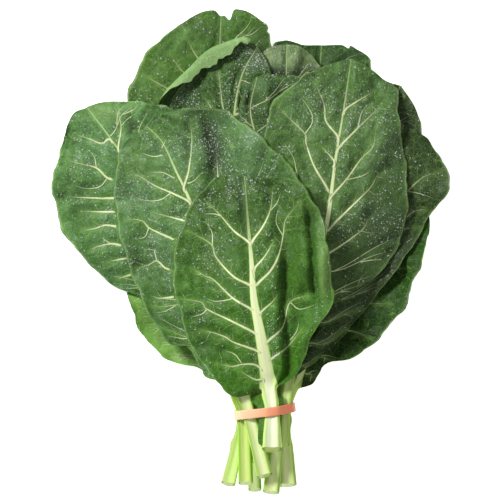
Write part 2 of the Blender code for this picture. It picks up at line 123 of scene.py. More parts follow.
# Sides of a stalk with a narrow wing: side, width, how much wider it is at the blade, and where it starts, as
# a share of the stalk
WINGS = dict(leaf_front=[("left", 5.5, 7.0, 0.02), ("right", 3.0, 3.0, 0.62)])
# Slants of the cut ends: reach, and share of it outwards
CUT_ROWS = 6
USUAL_SLANT = (4.0, 0.3)
SLANTS = dict(leaf_front=(5.5, 1.0), leaf_low_right=(4.0, 0.6))

# Rubber band
BAND_WIDTH = 8.0
BAND_THICKNESS = 1.3
BAND_MIDDLE = (11.0, -141.0)
BAND_SLANT = np.radians(8.0)

LEAVES = [
    dict(
        name="leaf_back_top",
        rib=[(14, -190), (10, -142), (14, -118), (32, -43), (48, 54), (59, 133), (62, 183)],
        left=[(15, -69), (4, 10), (1, 89), (8, 151), (18, 182), (29, 187), (40, 185), (47, 183)],
        right=[(39, -87), (78, -34), (106, 45), (111, 125), (105, 167), (93, 180), (82, 183)],
        stalk=(11, 10), arch=-3, tip=1, cup=(2, -4), wave=(3, 3.5), phase=0.1, rows=9,
    ),
    dict(
        name="leaf_back_right",
        rib=[(24, -208), (22, -142), (27, -122), (45, -60), (82, 28), (116, 107), (132, 147)],
        left=[(29, -87), (29, -34), (47, 37), (78, 107), (106, 140), (123, 148)],
        right=[(47, -100), (91, -52), (137, 23), (152, 85), (147, 122)],
        stalk=(11, 10), arch=0, tip=6, cup=(0, 5), wave=(4, 3), phase=0.6, rows=9,
    ),
    dict(
        name="leaf_low_left",
        rib=[(-21, -207), (-8, -146), (-15, -121), (-41, -80), (-72, -43), (-98, -9), (-116, 21)],
        left=[(-29, -117), (-45, -104), (-65, -99), (-81, -91), (-97, -73), (-106, -52), (-112, -29),
              (-119, 1)],
        right=[(-12, -87), (-21, -43), (-45, 1), (-76, 26), (-100, 33)],
        stalk=(13, 9), arch=2, tip=-2, cup=(4, -3), wave=(3, 3), phase=0.3, rows=9,
    ),
    dict(
        name="leaf_top_left",
        rib=[(3, -212), (0, -143), (-2, -120), (-10, -43), (-23, 63), (-29, 142), (-27, 209)],
        left=[(-12, -103), (-45, -51), (-85, 37), (-105, 98), (-110, 135), (-102, 160), (-88, 182),
              (-65, 200),
              (-47, 211), (-33, 214)],
        right=[(9, -87), (25, -16), (29, 72), (24, 142), (18, 182), (13, 200), (0, 211), (-13, 215),
               (-20, 213)],
        stalk=(12, 10.5), arch=4, tip=0, cup=(-6, 6), wave=(4, 4), phase=0.45, rows=12,
    ),
    dict(
        name="leaf_low_right",
        rib=[(32, -206), (29, -141), (35, -122), (50, -87), (71, -43), (103, 0), (135, 28), (156, 38)],
        left=[(29, -82), (43, -25), (73, 26), (113, 51), (141, 51)],
        right=[(47, -127), (54, -117), (67, -99), (88, -94), (106, -82), (122, -65), (136, -47), (142, -29),
               (152, -3), (157, 21)],
        stalk=(16, 10.5), arch=0, tip=6, cup=(2, 24), wave=(4, 4), phase=0.2, rows=11,
    ),
    dict(
        name="leaf_top_middle",
        rib=[(13, -166), (15, -142), (14, -120), (17, -43), (25, 54), (30, 133), (31, 183)],
        left=[(6, -87), (-10, -25), (-14, 63), (-5, 138), (8, 172), (18, 181)],
        right=[(29, -87), (62, -25), (76, 63), (73, 129), (59, 166), (50, 176), (40, 182)],
        stalk=(11, 10), arch=4, tip=4, cup=(-5, -5), wave=(3, 3), phase=0.7, rows=9,
    ),
    dict(
        name="leaf_far_right",
        rib=[(17, -213), (26, -141), (29, -118), (52, -65), (92, 10), (120, 72), (135, 112)],
        left=[(22, -82), (34, -29), (65, 41), (100, 94), (124, 119)],
        right=[(43, -109), (82, -73), (128, -16), (148, 14), (161, 37), (173, 51), (176, 61), (170, 77),
               (159, 96),
               (148, 105)],
        stalk=(15, 11), arch=4, tip=4, cup=(4, -4), wave=(4, 3), phase=0.0, rows=11,
    ),
    dict(
        name="leaf_top_curled",
        rib=[(5, -186), (4, -143), (1, -120), (-7, -43), (-14, 45), (-16, 107), (-10, 151), (5, 181)],
        left=[(-14, -95), (-41, -43), (-72, 37), (-83, 94), (-77, 127), (-72, 142), (-58, 159), (-40, 177),
              (-22, 185), (-5, 189)],
        right=[(6, -87), (21, -25), (29, 54), (26, 125), (15, 163)],
        stalk=(11, 10), arch=4, tip=2, cup=(-4, -6), wave=(3, 4), phase=0.35, rows=13,
        roll=dict(side="left", width=21, radius=4.6, start=0.46, full=0.78, reach=0.98),
    ),
    dict(
        name="leaf_left_outer",
        rib=[(-5, -205), (-7, -145), (-13, -124), (-32, -73), (-65, -9), (-96, 50), (-117, 89), (-146, 128)],
        left=[(-26, -115), (-59, -69), (-98, -41), (-125, -29), (-149, -5), (-168, 19), (-176, 52),
              (-176, 70),
              (-170, 86), (-166, 103), (-158, 122)],
        right=[(-7, -87), (-7, -34), (-19, 37), (-44, 98), (-69, 125), (-89, 131), (-117, 133), (-133, 132)],
        stalk=(13, 11), arch=8, tip=-4, cup=(-10, -2), wave=(4, 4), phase=0.8, rows=13,
    ),
    dict(
        name="leaf_top_centre",
        rib=[(9, -168), (8, -143), (8, -120), (12, -43), (10, 45), (4, 98), (-1, 126), (5, 154)],
        left=[(0, -87), (-12, -25), (-18, 54), (-13, 116), (-6, 141)],
        right=[(19, -87), (43, -34), (62, 45), (65, 116), (53, 149), (25, 156)],
        stalk=(10, 9), arch=6, tip=0, cup=(-6, 2), wave=(4, 3), phase=0.55, rows=10,
    ),
    dict(
        name="leaf_right_inner",
        rib=[(29, -171), (30, -139), (32, -120), (39, -69), (51, -21), (66, 25), (74, 81), (81, 123),
             (88, 170)],
        left=[(22, -82), (13, -25), (7, 45), (12, 107), (20, 132), (40, 150), (66, 164)],
        right=[(45, -84), (66, -50), (92, -34), (117, -15), (133, 14), (138, 45), (136, 81), (130, 118),
               (130, 143), (117, 152), (101, 164)],
        stalk=(9, 9), arch=8, tip=-4, cup=(-2, -19), wave=(4, 4), phase=0.15, rows=14,
    ),
    dict(
        name="leaf_left_inner",
        rib=[(12, -198), (-2, -142), (-9, -120), (-20, -78), (-32, -34), (-52, 38), (-67, 72), (-79, 97),
             (-92, 110)],
        left=[(-19, -123), (-37, -113), (-45, -101), (-58, -84), (-73, -81), (-87, -61), (-97, -42),
              (-108, -14),
              (-118, 23), (-121, 59), (-116, 89), (-105, 102)],
        right=[(6, -87), (34, -43), (55, 10), (52, 46), (34, 76), (15, 95), (-1, 109), (-23, 124), (-50, 126),
               (-73, 123)],
        stalk=(14, 11), arch=9, tip=-6, cup=(-6, -4), wave=(4, 4), phase=0.62, rows=14,
        folds=[dict(side="right", at=0.42, width=0.16, depth=9, middle=0.85, length=0.35)],
    ),
    dict(
        name="leaf_front",
        rib=[(18, -171), (18, -140), (16, -124), (12, -97), (7, -69), (2, -41), (0, -9), (-3, 26), (-6, 66)],
        left=[(-5, -132), (-26, -120), (-40, -101), (-52, -86), (-61, -60), (-69, -25), (-66, 7), (-52, 43),
              (-33, 63), (-19, 68)],
        right=[(30, -125), (38, -109), (48, -92), (51, -76), (67, -53), (72, -38), (68, -7), (63, 26),
               (50, 51),
               (36, 63), (13, 66)],
        stalk=(17.5, 12.5), arch=10, tip=-8, cup=(-4, 4), wave=(3, 4), phase=0.25, rows=15,
        folds=[dict(side="right", at=0.5, width=0.17, depth=13, middle=0.5, length=0.45)],
    ),
]

# Side veins where they show, in pixels of the photograph, from the midrib outwards
VEINS = dict(
    leaf_front=[
        [(249.5, 243), (234, 231), (221, 216), (206, 201)],
        [(249.5, 285), (233, 276), (216, 257), (211, 244), (188, 231)],
        [(251, 309), (233, 298), (214, 280), (205, 276), (192, 268)],
        [(255, 333), (232, 321), (207, 309), (201, 302), (177, 298)],
        [(258, 351), (234, 342), (226, 337), (212, 332), (200, 330)],
        [(261, 369), (254, 364), (242, 364), (232, 366), (217, 363)],
        [(263, 379), (255, 379), (241, 371)],
        [(252, 242), (262, 228), (270, 211), (273, 188)],
        [(255, 268), (265, 256), (275, 239)],
        [(256.5, 285), (271, 270), (279, 254), (283, 236), (286, 219), (300, 202)],
        [(261, 312), (272, 302), (278, 294)],
        [(267, 342), (283, 326), (290, 302), (312, 294)],
        [(271, 359), (288, 346), (302, 328)],
    ],
    leaf_left_inner=[
        [(188.7, 201.6), (170.7, 192.5), (154.6, 185.5), (136.5, 174.4), (128.4, 171.4)],
        [(183.7, 220.7), (168.6, 216.6), (152.6, 212.6)],
        [(176.7, 240.8), (160.6, 233.7), (148.5, 227.7), (141.5, 220.7), (124.4, 218.6)],
        [(171.7, 269.9), (164.6, 267.9), (156.6, 260.9), (148.5, 264.9), (136.5, 267.9)],
        [(175.7, 297), (154.6, 299)],
        [(183.7, 188.5), (188.7, 170.4), (191.8, 140.3), (189.7, 118.1)],
        [(221, 192), (218, 176), (217, 158)],
    ],
    leaf_right_inner=[
        [(328, 190), (314, 166), (306, 143), (305, 134), (287, 116), (274, 102)],
        [(338, 137), (326, 121), (324, 104), (314, 80)],
        [(334, 161), (320, 145)],
        [(339, 148), (358, 128), (385, 102)],
        [(347, 108), (374, 91)],
        [(330, 199), (346, 180), (362, 158), (373, 147), (376, 128)],
        [(330, 228), (346, 212), (370, 188), (378, 175), (390, 169)],
        [(334, 250), (362, 230), (368, 218)],
    ],
    leaf_left_outer=[
        [(114.4, 179.4), (106.3, 177.4), (95.3, 167.4), (80.2, 163.4), (65.1, 159.3)],
        [(116, 197.9), (98.3, 197.9), (66.1, 196.5)],
        [(116, 211.6), (98.3, 211.6), (78.2, 210.6)],
        [(117, 226.7), (104.3, 225.1), (94.3, 228.3), (80.2, 230.7)],
        [(122, 246), (110.4, 243.8), (96.3, 246.8), (87.2, 250.8)],
        [(128, 258), (106.3, 261.9)],
        [(134, 274), (116, 279)],
        [(117.4, 148.3), (120.4, 125.2), (115.4, 106.1)],
        [(108.3, 138.2), (100.3, 142.7), (88.2, 138.2), (73.2, 133.2)],
    ],
    leaf_top_left=[
        [(214, 70), (197, 56), (183, 30)],
        [(212, 92), (183, 71), (169, 51)],
        [(208, 110), (168, 88), (140, 72)],
    ],
    leaf_top_curled=[
        [(222, 128), (214, 112), (204, 96)],
        [(226, 118), (222, 102), (220, 83), (217, 62)],
        [(246, 108), (239, 91), (234, 72)],
    ],
    leaf_low_right=[
        [(333, 301), (344, 297), (361, 303), (390, 304)],
        [(330, 330), (355, 332), (372, 340)],
        [(372, 282), (389, 271), (407, 268)],
    ],
    leaf_far_right=[
        [(392, 208), (408, 191), (424, 177), (441, 171)],
        [(388, 222), (405, 218), (415, 211), (431, 209)],
        [(380, 238), (405, 229), (420, 228)],
    ],
)
# Branches of those veins
TWIGS = dict(
    leaf_front=[
        [(212.5, 246), (212, 232), (205, 221)],
        [(242, 363), (235, 354), (224, 350)],
        [(233, 298), (226, 300), (214, 301), (205, 297)],
        [(207, 309), (202, 314), (190, 317)],
        [(221, 216), (214, 214), (204, 214)],
        [(270, 211), (277, 203), (281, 192)],
        [(283, 236), (276, 222), (279, 206)],
        [(290, 302), (300, 309), (318, 303)],
        [(290, 340), (297, 330), (299, 318)],
    ],
    leaf_left_inner=[
        [(170.7, 193), (160.6, 199.5), (146.5, 200.6), (130.5, 195.5)],
        [(162.6, 155.3), (152.6, 156.3), (140.5, 152.3)],
        [(161.6, 148.3), (164.6, 142.3), (166.6, 139.2)],
        [(174.7, 178.4), (162.6, 172.4), (148.5, 172.4)],
        [(148.5, 227.7), (144.5, 236.7), (134.5, 239.7)],
        [(156.6, 260.9), (154.6, 252.8), (152.6, 249.8), (142.5, 249.8)],
        [(187, 184), (195, 180), (203, 171)],
    ],
    leaf_left_outer=[
        [(95.3, 167.4), (93.3, 156.3), (88.2, 150.3)],
        [(106.3, 178), (98.3, 186.5), (84.2, 187.9), (71.2, 184.1)],
        [(110.4, 243.8), (100.3, 237.7)],
        [(120.4, 125.2), (127, 118), (131.5, 115.1), (129.8, 104.1)],
    ],
    leaf_right_inner=[
        [(305, 134), (312, 123), (311, 112), (299, 94)],
        [(300, 196), (297, 175), (293, 157), (282, 140)],
        [(358, 128), (362, 112), (372, 100)],
        [(346, 180), (362, 176), (372, 170)],
    ],
    leaf_far_right=[
        [(408, 191), (422, 194), (436, 199)],
    ],
)


def paint(red, green, blue):
    """A colour as the photograph shows it, turned to the light it stands for."""
    shown = np.array([red, green, blue]) / 255
    return (*np.where(shown <= 0.04045, shown / 12.92, ((shown + 0.055) / 1.055) ** 2.4), 1.0)


RIB_PALE = paint(228, 236, 184)
RIB_FADES = (0.55, 1.05)  # share of the blade over which the midrib fades into it
# How each leaf looks above: its green near the stalk and near the tip, the strength of its bluish bloom, how
# pale its veins are, how wet it is, and the stalk's crown and sides
LOOKS = dict(
    leaf_back_top=dict(base=(46, 72, 36), tip=(50, 78, 42), bloom=0.15, veins=0.5, wet=0.1,
                       crown=(196, 214, 140), side=(136, 170, 72)),
    # Painted light: this stalk's crown and side are brighter than its own colour, against the front stalk's
    # shadow
    leaf_back_right=dict(base=(48, 62, 38), tip=(52, 66, 42), bloom=0.1, veins=0.35, wet=0.1,
                         crown=(216, 230, 156), side=(150, 186, 84)),
    leaf_low_left=dict(base=(112, 164, 66), tip=(100, 152, 62), bloom=0.0, veins=0.75, wet=0.0, pale=True,
                       crown=(226, 240, 176), side=(196, 220, 130)),
    leaf_top_left=dict(base=(62, 96, 38), tip=(72, 108, 44), bloom=0.2, veins=0.7, wet=0.35,
                       crown=(214, 228, 160), side=(156, 190, 88)),
    # Painted shade: this leaf's greens are darkened in part for the leaves above it. Painted light: its
    # stalk's crown and side are brighter than its own colour, against the front stalk's shadow
    leaf_low_right=dict(base=(24, 52, 10), tip=(30, 74, 12), bloom=0.0, veins=0.8, wet=0.0,
                        crown=(232, 242, 176), side=(172, 204, 92)),
    leaf_top_middle=dict(base=(84, 108, 64), tip=(116, 136, 94), bloom=0.5, veins=0.5, wet=0.9,
                         crown=(200, 218, 146), side=(140, 174, 78)),
    leaf_far_right=dict(base=(34, 50, 24), tip=(46, 64, 34), bloom=0.15, veins=0.55, wet=0.3,
                        crown=(226, 238, 168), side=(160, 196, 84)),
    leaf_top_curled=dict(base=(44, 74, 28), tip=(50, 80, 34), bloom=0.2, veins=0.65, wet=1.0,
                         crown=(204, 222, 150), side=(146, 182, 80)),
    leaf_left_outer=dict(base=(64, 108, 50), tip=(80, 122, 64), bloom=0.4, veins=0.9, wet=0.75,
                         crown=(206, 226, 130), side=(140, 186, 56)),
    leaf_top_centre=dict(base=(46, 72, 32), tip=(52, 80, 38), bloom=0.3, veins=0.65, wet=1.0,
                         crown=(206, 222, 154), side=(148, 180, 84)),
    leaf_right_inner=dict(base=(66, 96, 46), tip=(76, 110, 56), bloom=0.25, veins=0.95, wet=0.7,
                          crown=(200, 220, 140), side=(140, 176, 70)),
    leaf_left_inner=dict(base=(62, 108, 44), tip=(80, 116, 64), bloom=0.5, veins=0.95, wet=0.9,
                         crown=(226, 238, 172), side=(160, 196, 84)),
    leaf_front=dict(base=(58, 110, 18), tip=(58, 90, 38), bloom=0.18, veins=1.0, wet=0.8, fades=(0.5, 0.88),
                    crown=(232, 240, 202), side=(178, 208, 112)),
)
# Patches of the blades painted darker or, below 0, lighter: partly the leaves' own duller and fresher zones,
# partly painted shade in valleys and under other leaves and painted light on raised strips. Pixel of the
# photograph, reach both ways in pixels, and how much darker
TONE_AND_SHADE_PATCHES = dict(
    leaf_front=[(236, 195, 22, 14, 0.25), (296, 290, 9, 60, 0.25), (320, 260, 9, 60, -0.2),
                (216, 264, 22, 18, -0.2),
                (206, 344, 34, 30, 0.42), (236, 388, 16, 10, 0.2), (244, 222, 7, 26, 0.3)],
    leaf_left_inner=[(218, 148, 20, 40, 0.5), (150, 170, 30, 20, -0.15), (262, 160, 22, 24, 0.15),
                     (190, 112, 50, 12, 0.3),
                     (158, 300, 28, 50, 0.3), (138, 262, 7, 12, 0.4)],
    leaf_right_inner=[(372, 222, 18, 26, 0.2), (362, 112, 14, 16, -0.15), (300, 96, 30, 12, 0.15)],
    leaf_left_outer=[(100, 112, 24, 12, -0.3), (134, 126, 9, 6, 0.45), (140, 112, 14, 8, 0.15),
                     (78, 200, 18, 30, 0.35)],
    leaf_low_right=[(345, 340, 40, 30, 0.2), (406, 258, 18, 24, 0.55), (414, 300, 10, 20, 0.15)],
    # Painted shadow, where the leaves above shade this one
    leaf_far_right=[(398, 256, 22, 34, 0.98), (386, 296, 24, 24, 0.9)],
    leaf_top_left=[(206, 32, 24, 12, 0.35), (160, 56, 20, 20, -0.1), (262, 46, 12, 30, 0.6),
                   (186, 20, 20, 10, 0.35)],
    leaf_top_middle=[(286, 73, 34, 10, 0.85), (316, 66, 10, 12, 0.3)],
    leaf_back_top=[(350, 50, 30, 14, 0.3)],
    leaf_top_centre=[(252, 104, 10, 22, 0.4), (270, 100, 8, 20, 0.1), (284, 96, 8, 22, 0.4)],
    leaf_top_curled=[(222, 92, 14, 14, 0.2), (246, 70, 10, 14, 0.25), (206, 112, 20, 12, -0.2),
                     (254, 44, 16, 12, 0.4), (260, 60, 12, 16, 0.35)],
)

# Notches in the margins: pixel of the photograph, depth and half width in millimetres
NOTCHES = dict(
    leaf_top_left=[((228, 9), 8.0, 3.0), ((268, 30), 2.5, 2.0)],
    leaf_back_top=[((347, 44), 3.5, 1.8)],
    leaf_right_inner=[((397, 84), 3.0, 2.0)],
)

# Where the drops stand on the leaves that have them in places only: pixel of the photograph and reach both
# ways. Between these places stands a small share of them
DEW_BETWEEN = dict(leaf_front=0.14)
DEWY = dict(
    leaf_front=[(214, 232, 30, 34), (246, 186, 34, 16), (262, 250, 12, 40), (206, 300, 14, 20),
                (276, 330, 8, 26)],
    leaf_left_inner=[(222, 160, 44, 44), (160, 200, 30, 20), (168, 250, 14, 44), (236, 128, 30, 16)],
    leaf_right_inner=[(310, 150, 34, 60), (350, 110, 44, 26), (352, 210, 30, 26)],
    leaf_left_outer=[(120, 170, 40, 26), (124, 220, 20, 34), (84, 170, 26, 16)],
    leaf_top_left=[(150, 84, 40, 20), (206, 40, 20, 14)],
    leaf_far_right=[(412, 196, 30, 26)],
)

# Lines beyond which, to the right, a leaf is painted darker, as painted shade on its side turned from the
# light: rows and columns of the photograph, and how much darker
SHADED_RIGHT = dict(
    leaf_right_inner=[((80, 105, 128, 150, 175, 200, 225, 262), (404, 390, 377, 370, 360, 346, 338, 328),
                       0.5)],
)

# Creases pressed into the blades, also painted darker as painted shade, or lighter as painted light where the
# depth is below 0: pixels of the photograph along it, depth, and half width in millimetres
CREASES = dict(
    leaf_front=[
        ([(289, 236), (284, 262), (284, 290), (283, 313), (287, 352), (291, 396)], 8.0, 3.4),
        ([(305, 190), (309, 221), (312, 252), (313, 282), (319, 316)], 7.0, 3.2),
        ([(298, 230), (298, 280), (301, 350)], -4.5, 5.0),
        ([(322, 240), (323, 280), (326, 310)], -3.0, 5.0),
        ([(214, 262), (225, 276), (236, 296)], 1.6, 2.5),
        ([(240, 190), (246, 215), (250, 240)], 2.5, 5.0),
    ],
    leaf_left_inner=[
        ([(204, 112), (211, 140), (214, 165), (210, 188)], 7.0, 5.5),
        ([(226, 120), (232, 150), (236, 172)], -3.0, 6.0),
    ],
    leaf_right_inner=[
        ([(390, 112), (378, 150), (366, 190), (356, 240)], -5.0, 8.0),
        ([(284, 104), (300, 150), (318, 200)], 2.5, 4.0),
    ],
    leaf_left_outer=[([(128, 112), (132, 126), (128, 140)], 5.0, 4.0)],
    leaf_top_left=[([(226, 30), (214, 56), (200, 84)], 4.0, 6.0), ([(188, 24), (184, 50)], -2.5, 6.0)],
    leaf_top_curled=[([(240, 62), (238, 90), (244, 118)], 5.0, 4.0), ([(216, 84), (222, 104), (226, 124)],
                                                                      3.0, 4.0)],
    leaf_top_centre=[([(252, 84), (250, 106), (256, 130)], 4.0, 3.5), ([(284, 78), (281, 100), (288, 124)],
                                                                       4.0, 4.0),
                     ([(268, 80), (266, 104), (270, 124)], -3.5, 4.0), ([(304, 80), (298, 100), (304, 124)],
                                                                        -3.0, 5.0)],
    leaf_top_middle=[([(282, 46), (286, 60), (292, 76)], -2.5, 5.0), ([(304, 50), (304, 66)], 2.5, 4.0)],
    leaf_low_right=[([(352, 300), (350, 326), (336, 352)], 4.0, 6.0), ([(404, 250), (412, 276), (404, 300)],
                                                                       -4.0, 6.0)],
)


def plan_of(pixels):
    """Places in plan of pixels of the photograph."""
    return (np.array(pixels, float) - PHOTO_MIDDLE) * [PIXEL, -PIXEL]


def pixels_of(plan):
    """Pixels of the photograph that show places in plan."""
    return plan / PIXEL * [1, -1] + PHOTO_MIDDLE


def spot(pixels, x, y, wide, tall):
    """A soft spot: 1 at its middle, and less with the distance in pixels from there."""
    away = (pixels - [x, y]) / [wide, tall]
    return np.exp(-(away**2).sum(-1))


def unit(vectors):
    return vectors / np.maximum(np.linalg.norm(vectors, axis=-1, keepdims=True), 1e-9)


def curve_through(points):
    """A smooth curve through the given points, as closely spaced points."""
    p = np.array(points, float)
    p = np.vstack([2 * p[0] - p[1], p, 2 * p[-1] - p[-2]])
    t = np.linspace(0, 1, CURVE_STEPS, endpoint=False)[:, None]
    spans = []
    for a, b, c, d in zip(p, p[1:], p[2:], p[3:]):
        spans.append(b + (c - a) * t / 2 + (a - 2.5 * b + 2 * c - d / 2) * t**2
                     + (3 * (b - c) + d - a) * t**3 / 2)
    return np.vstack([*spans, p[-2:-1]])


def along(curve):
    """How far each point of a curve lies from its start."""
    return np.concatenate([[0], np.cumsum(np.linalg.norm(np.diff(curve, axis=0), axis=1))])


def at(curve, shares):
    """Points of a curve at shares of its length."""
    reach = along(curve)
    where = np.asarray(shares) * reach[-1]
    return np.stack([np.interp(where, reach, curve[:, k]) for k in range(curve.shape[1])], -1)


def to_the_right(curve, shares):
    """Unit plan directions square to the curve, on its right."""
    shares = np.asarray(shares)
    ahead = unit(at(curve, np.minimum(shares + 0.01, 1)) - at(curve, np.maximum(shares - 0.01, 0)))
    return np.stack([ahead[..., 1], -ahead[..., 0]], -1)


def ease(x):
    x = np.clip(x, 0, 1)
    return x * x * (3 - 2 * x)


def rolls(leaf, side):
    return leaf.get("roll", {}).get("side") == side


def columns_of(leaf, rib, blade, roll):
    """Places across a leaf from its left margin to its right: within RIB_EDGE on the midrib, then on by the
    share of the way to the margin."""
    rolled = np.concatenate([blade, 1 + roll])
    outward = {side: rolled if rolls(leaf, side) else blade for side in ("left", "right")}
    return np.concatenate([-RIB_EDGE - outward["left"][::-1], rib, RIB_EDGE + outward["right"]])


def rib_half_width(leaf, v):
    return (leaf["stalk"][1] * (1 - v) ** 1.1 + RIB_TIP_WIDTH) / 2


def natural_height(leaf, v, place, side, width):
    """How a blade would stand by itself, above its stalk. The width is that from midrib to margin."""
    cup = leaf["cup"][0 if side == "left" else 1]
    turn = leaf["phase"] + (LEFT_TURN if side == "left" else 0)
    amplitude, count = leaf["wave"]
    height = leaf["arch"] * np.sin(np.pi * v**0.8) + leaf["tip"] * v**3
    sunk = np.sin(np.pi * np.minimum(1, v + 0.15))
    height = height + RIB_SUNK * (1 - np.exp(-place * width / RIB_SUNK_WIDTH)) * sunk
    bend = cup * place**1.6 * np.sin(np.pi * (0.12 + 0.8 * v))
    bend = bend + amplitude * place**2 * np.sin(2 * np.pi * (count * v + turn)) * ease(v / CALM_BASE)
    bend = bend + RIM_LIFT * place**5 * ease(v / RIM_LIFTS_BY)
    height = height + bend * ease(width / FULL_WIDTH)
    for fold in leaf.get("folds", ()):
        if fold["side"] == side:
            across = (place - fold["at"]) / fold["width"]
            lengthwise = (v - fold["middle"]) / fold["length"]
            height = height - fold["depth"] * np.exp(-(across**2) - lengthwise**2)
    return height


def outlines(leaf):
    """The leaf's stalk line, midrib and two margins in plan."""
    whole = curve_through(leaf["rib"])
    stalk_line, rib = whole[: 2 * CURVE_STEPS + 1], whole[2 * CURVE_STEPS :]
    across = to_the_right(rib, 0.0)
    margins = {}
    for side, sign in (("left", -1), ("right", 1)):
        foot = rib[0] + sign * WING_FOOT * rib_half_width(leaf, 0) * across
        margins[side] = curve_through([foot, *leaf[side], rib[-1]])
    return stalk_line, rib, margins


def rolled(roll, v, place, jagged):
    """How far inwards and up the places of a rolled margin lie. Past 1 they turn over."""
    strength = ease((v - roll["start"]) / (roll["full"] - roll["start"]))
    hem = 1 + (ROLL_HEM - 1) * ease((v - BASE_BLEND) / BASE_BLEND)
    shift = (hem * (1 - strength) + roll["radius"] * strength) * np.minimum(place, 1)[None, :] ** 3
    strip = roll["width"] * (1 - ROLL_TAPER * ease((v - ROLL_TAPER_FROM) / ROLL_TAPER_BY))
    jags = ROLL_SPARE
    for size, count, turn in ROLL_JAGS:
        jags = jags + size * np.sin(count * v + turn)
    strip = strip * (1 + jagged * jags)
    run = np.maximum(place - 1, 0)[None, :] * (hem + (strip - hem) * strength)
    bend = roll["radius"] / np.maximum(strength, ROLL_LEAST)
    turned = np.minimum(run / bend, ROLL_TURN)
    return shift - (bend * np.sin(turned) - run + turned * bend), bend * (1 - np.cos(turned))


def half_blade(leaf, rib, margin, side, v, place, jagged):
    """Top points of one side of the blade. Rows run as side veins do; places past the margin roll over."""
    sign = -1 if side == "left" else 1
    middle, right = at(rib, v)[:, None], to_the_right(rib, v)[:, None]
    ahead = np.stack([-right[..., 1], right[..., 0]], -1)
    inner = middle + sign * RIB_EDGE * rib_half_width(leaf, v)[:, None, None] * right
    last = leaf["roll"]["reach"] if rolls(leaf, side) else MARGIN_AT_TIP
    reach = last * (v + MARGIN_LEAD * v * (1 - v) * ease(v / 0.3))
    outer = at(margin, reach)[:, None]
    wing = ((outer - inner) * right).sum(-1, keepdims=True) * sign
    least = WING_WIDTH * ease(v / BASE_BLEND)[:, None, None]
    outer = outer + sign * right * np.maximum(0, least - wing)
    width = np.linalg.norm(outer - inner, axis=-1, keepdims=True)
    span = np.minimum(place, 1)[None, :, None]
    v = v[:, None]
    plan = inner + (outer - inner) * span
    plan = plan - ahead * VEIN_BOW * width * 4 * span * (1 - span) * (1 - v)[..., None]
    rim = at(margin, 1 - span[..., 0] * (1 - last))
    chord = at(rib, 1) + (at(margin, last) - at(rib, 1)) * span
    plan = plan + (rim - chord) * v[..., None] ** 8
    height = natural_height(leaf, v, span[..., 0], side, width[..., 0])
    if rolls(leaf, side):
        shift, rise = rolled(leaf["roll"], v, place, jagged)
        plan = plan + to_the_right(margin, reach)[:, None] * -sign * shift[..., None]
        height = height + rise
    return np.concatenate([plan, height[..., None]], -1)


def blade_grid(leaf, rib, margins, v, columns, jagged):
    """Top points of the whole blade."""
    on_rib = np.abs(columns) <= RIB_EDGE
    places = np.abs(columns) - RIB_EDGE
    grid = np.empty((len(v), len(columns), 3))
    offset = columns[on_rib] * rib_half_width(leaf, v)[:, None]
    grid[:, on_rib, :2] = at(rib, v)[:, None] + to_the_right(rib, v)[:, None] * offset[..., None]
    grid[:, on_rib, 2] = natural_height(leaf, v[:, None], 0.0, "right", 0.0)
    for side, here in (("left", columns < -RIB_EDGE), ("right", columns > RIB_EDGE)):
        grid[:, here] = half_blade(leaf, rib, margins[side], side, v, places[here], jagged)
    return grid


def section(half_width, turn, flatness):
    """(sideways, up) of the top and bottom points round a stalk: flat and grooved above, round below."""
    half_width = half_width[:, None]
    depth = 2 * half_width * STALK_DEPTH
    sideways = half_width * np.sign(np.cos(turn)) * np.abs(np.cos(turn)) ** 0.9
    groove = 2 * half_width * STALK_GROOVE * np.exp(-((sideways / (0.45 * half_width)) ** 2))
    up = depth * STALK_CROWN * np.sin(turn) ** flatness - groove
    down = -depth * (1 - STALK_CROWN) * np.sin(turn) ** 0.9
    return sideways, up, down


def outward_directions(grid, upright):
    """Unit directions out of a grid's upper side: its normals, leant upwards in the upright columns."""
    normal = unit(np.cross(np.gradient(grid, axis=1), np.gradient(grid, axis=0)))
    normal[..., 2] += upright
    return unit(normal)


def leaf_shape(leaf, rows, columns, thickness, turns, flatness, jagged):
    """Top and bottom grids of a leaf as it would stand by itself, with rows below 0 on its stalk, how
    stalk-like each row is, and each point's place across. Turns are the columns' angles round the stalk."""
    stalk_line, rib, margins = outlines(leaf)
    on_stalk = rows < 0
    share, v = rows[on_stalk] + 1, rows[~on_stalk]
    blade = blade_grid(leaf, rib, margins, v, columns, jagged)
    up = outward_directions(blade, np.abs(columns) <= RIB_EDGE + 1)
    half = rib_half_width(leaf, v)
    under = blade - up * thickness[None, :, None]
    under[..., 2] -= np.clip(1 - (columns / RIB_EDGE) ** 2, 0, 1) * RIB_DEPTH * 2 * half[:, None]

    knots = np.append(STALK_ROWS, 1)
    cut_width, base_width = leaf["stalk"]
    widths = (cut_width + (base_width - cut_width) * ease(STALK_ROWS * STALK_NARROWS)) / 2
    widths = np.interp(share, knots, np.append(widths, rib_half_width(leaf, 0)))
    middles = np.stack([np.interp(share, knots, line) for line in at(stalk_line, knots).T], -1)
    directions = np.stack([np.interp(share, knots, line) for line in to_the_right(stalk_line, knots).T], -1)
    middles = np.vstack([middles, at(rib, v)])[:, None]
    directions = np.vstack([directions, to_the_right(rib, v)])[:, None]
    sideways, over, below = section(np.append(widths, half), turns, flatness)
    plan = middles + directions * sideways[..., None]
    top = np.concatenate([plan, over[..., None]], -1)
    bottom = np.concatenate([plan, below[..., None]], -1)
    stem = np.append(np.ones(len(share)), 1 - ease(v / BASE_BLEND))
    part = stem[~on_stalk][:, None, None]
    top[~on_stalk] = part * top[~on_stalk] + (1 - part) * blade
    bottom[~on_stalk] = part * bottom[~on_stalk] + (1 - part) * under
    return top, bottom, stem, sideways / np.append(widths, half)[:, None]


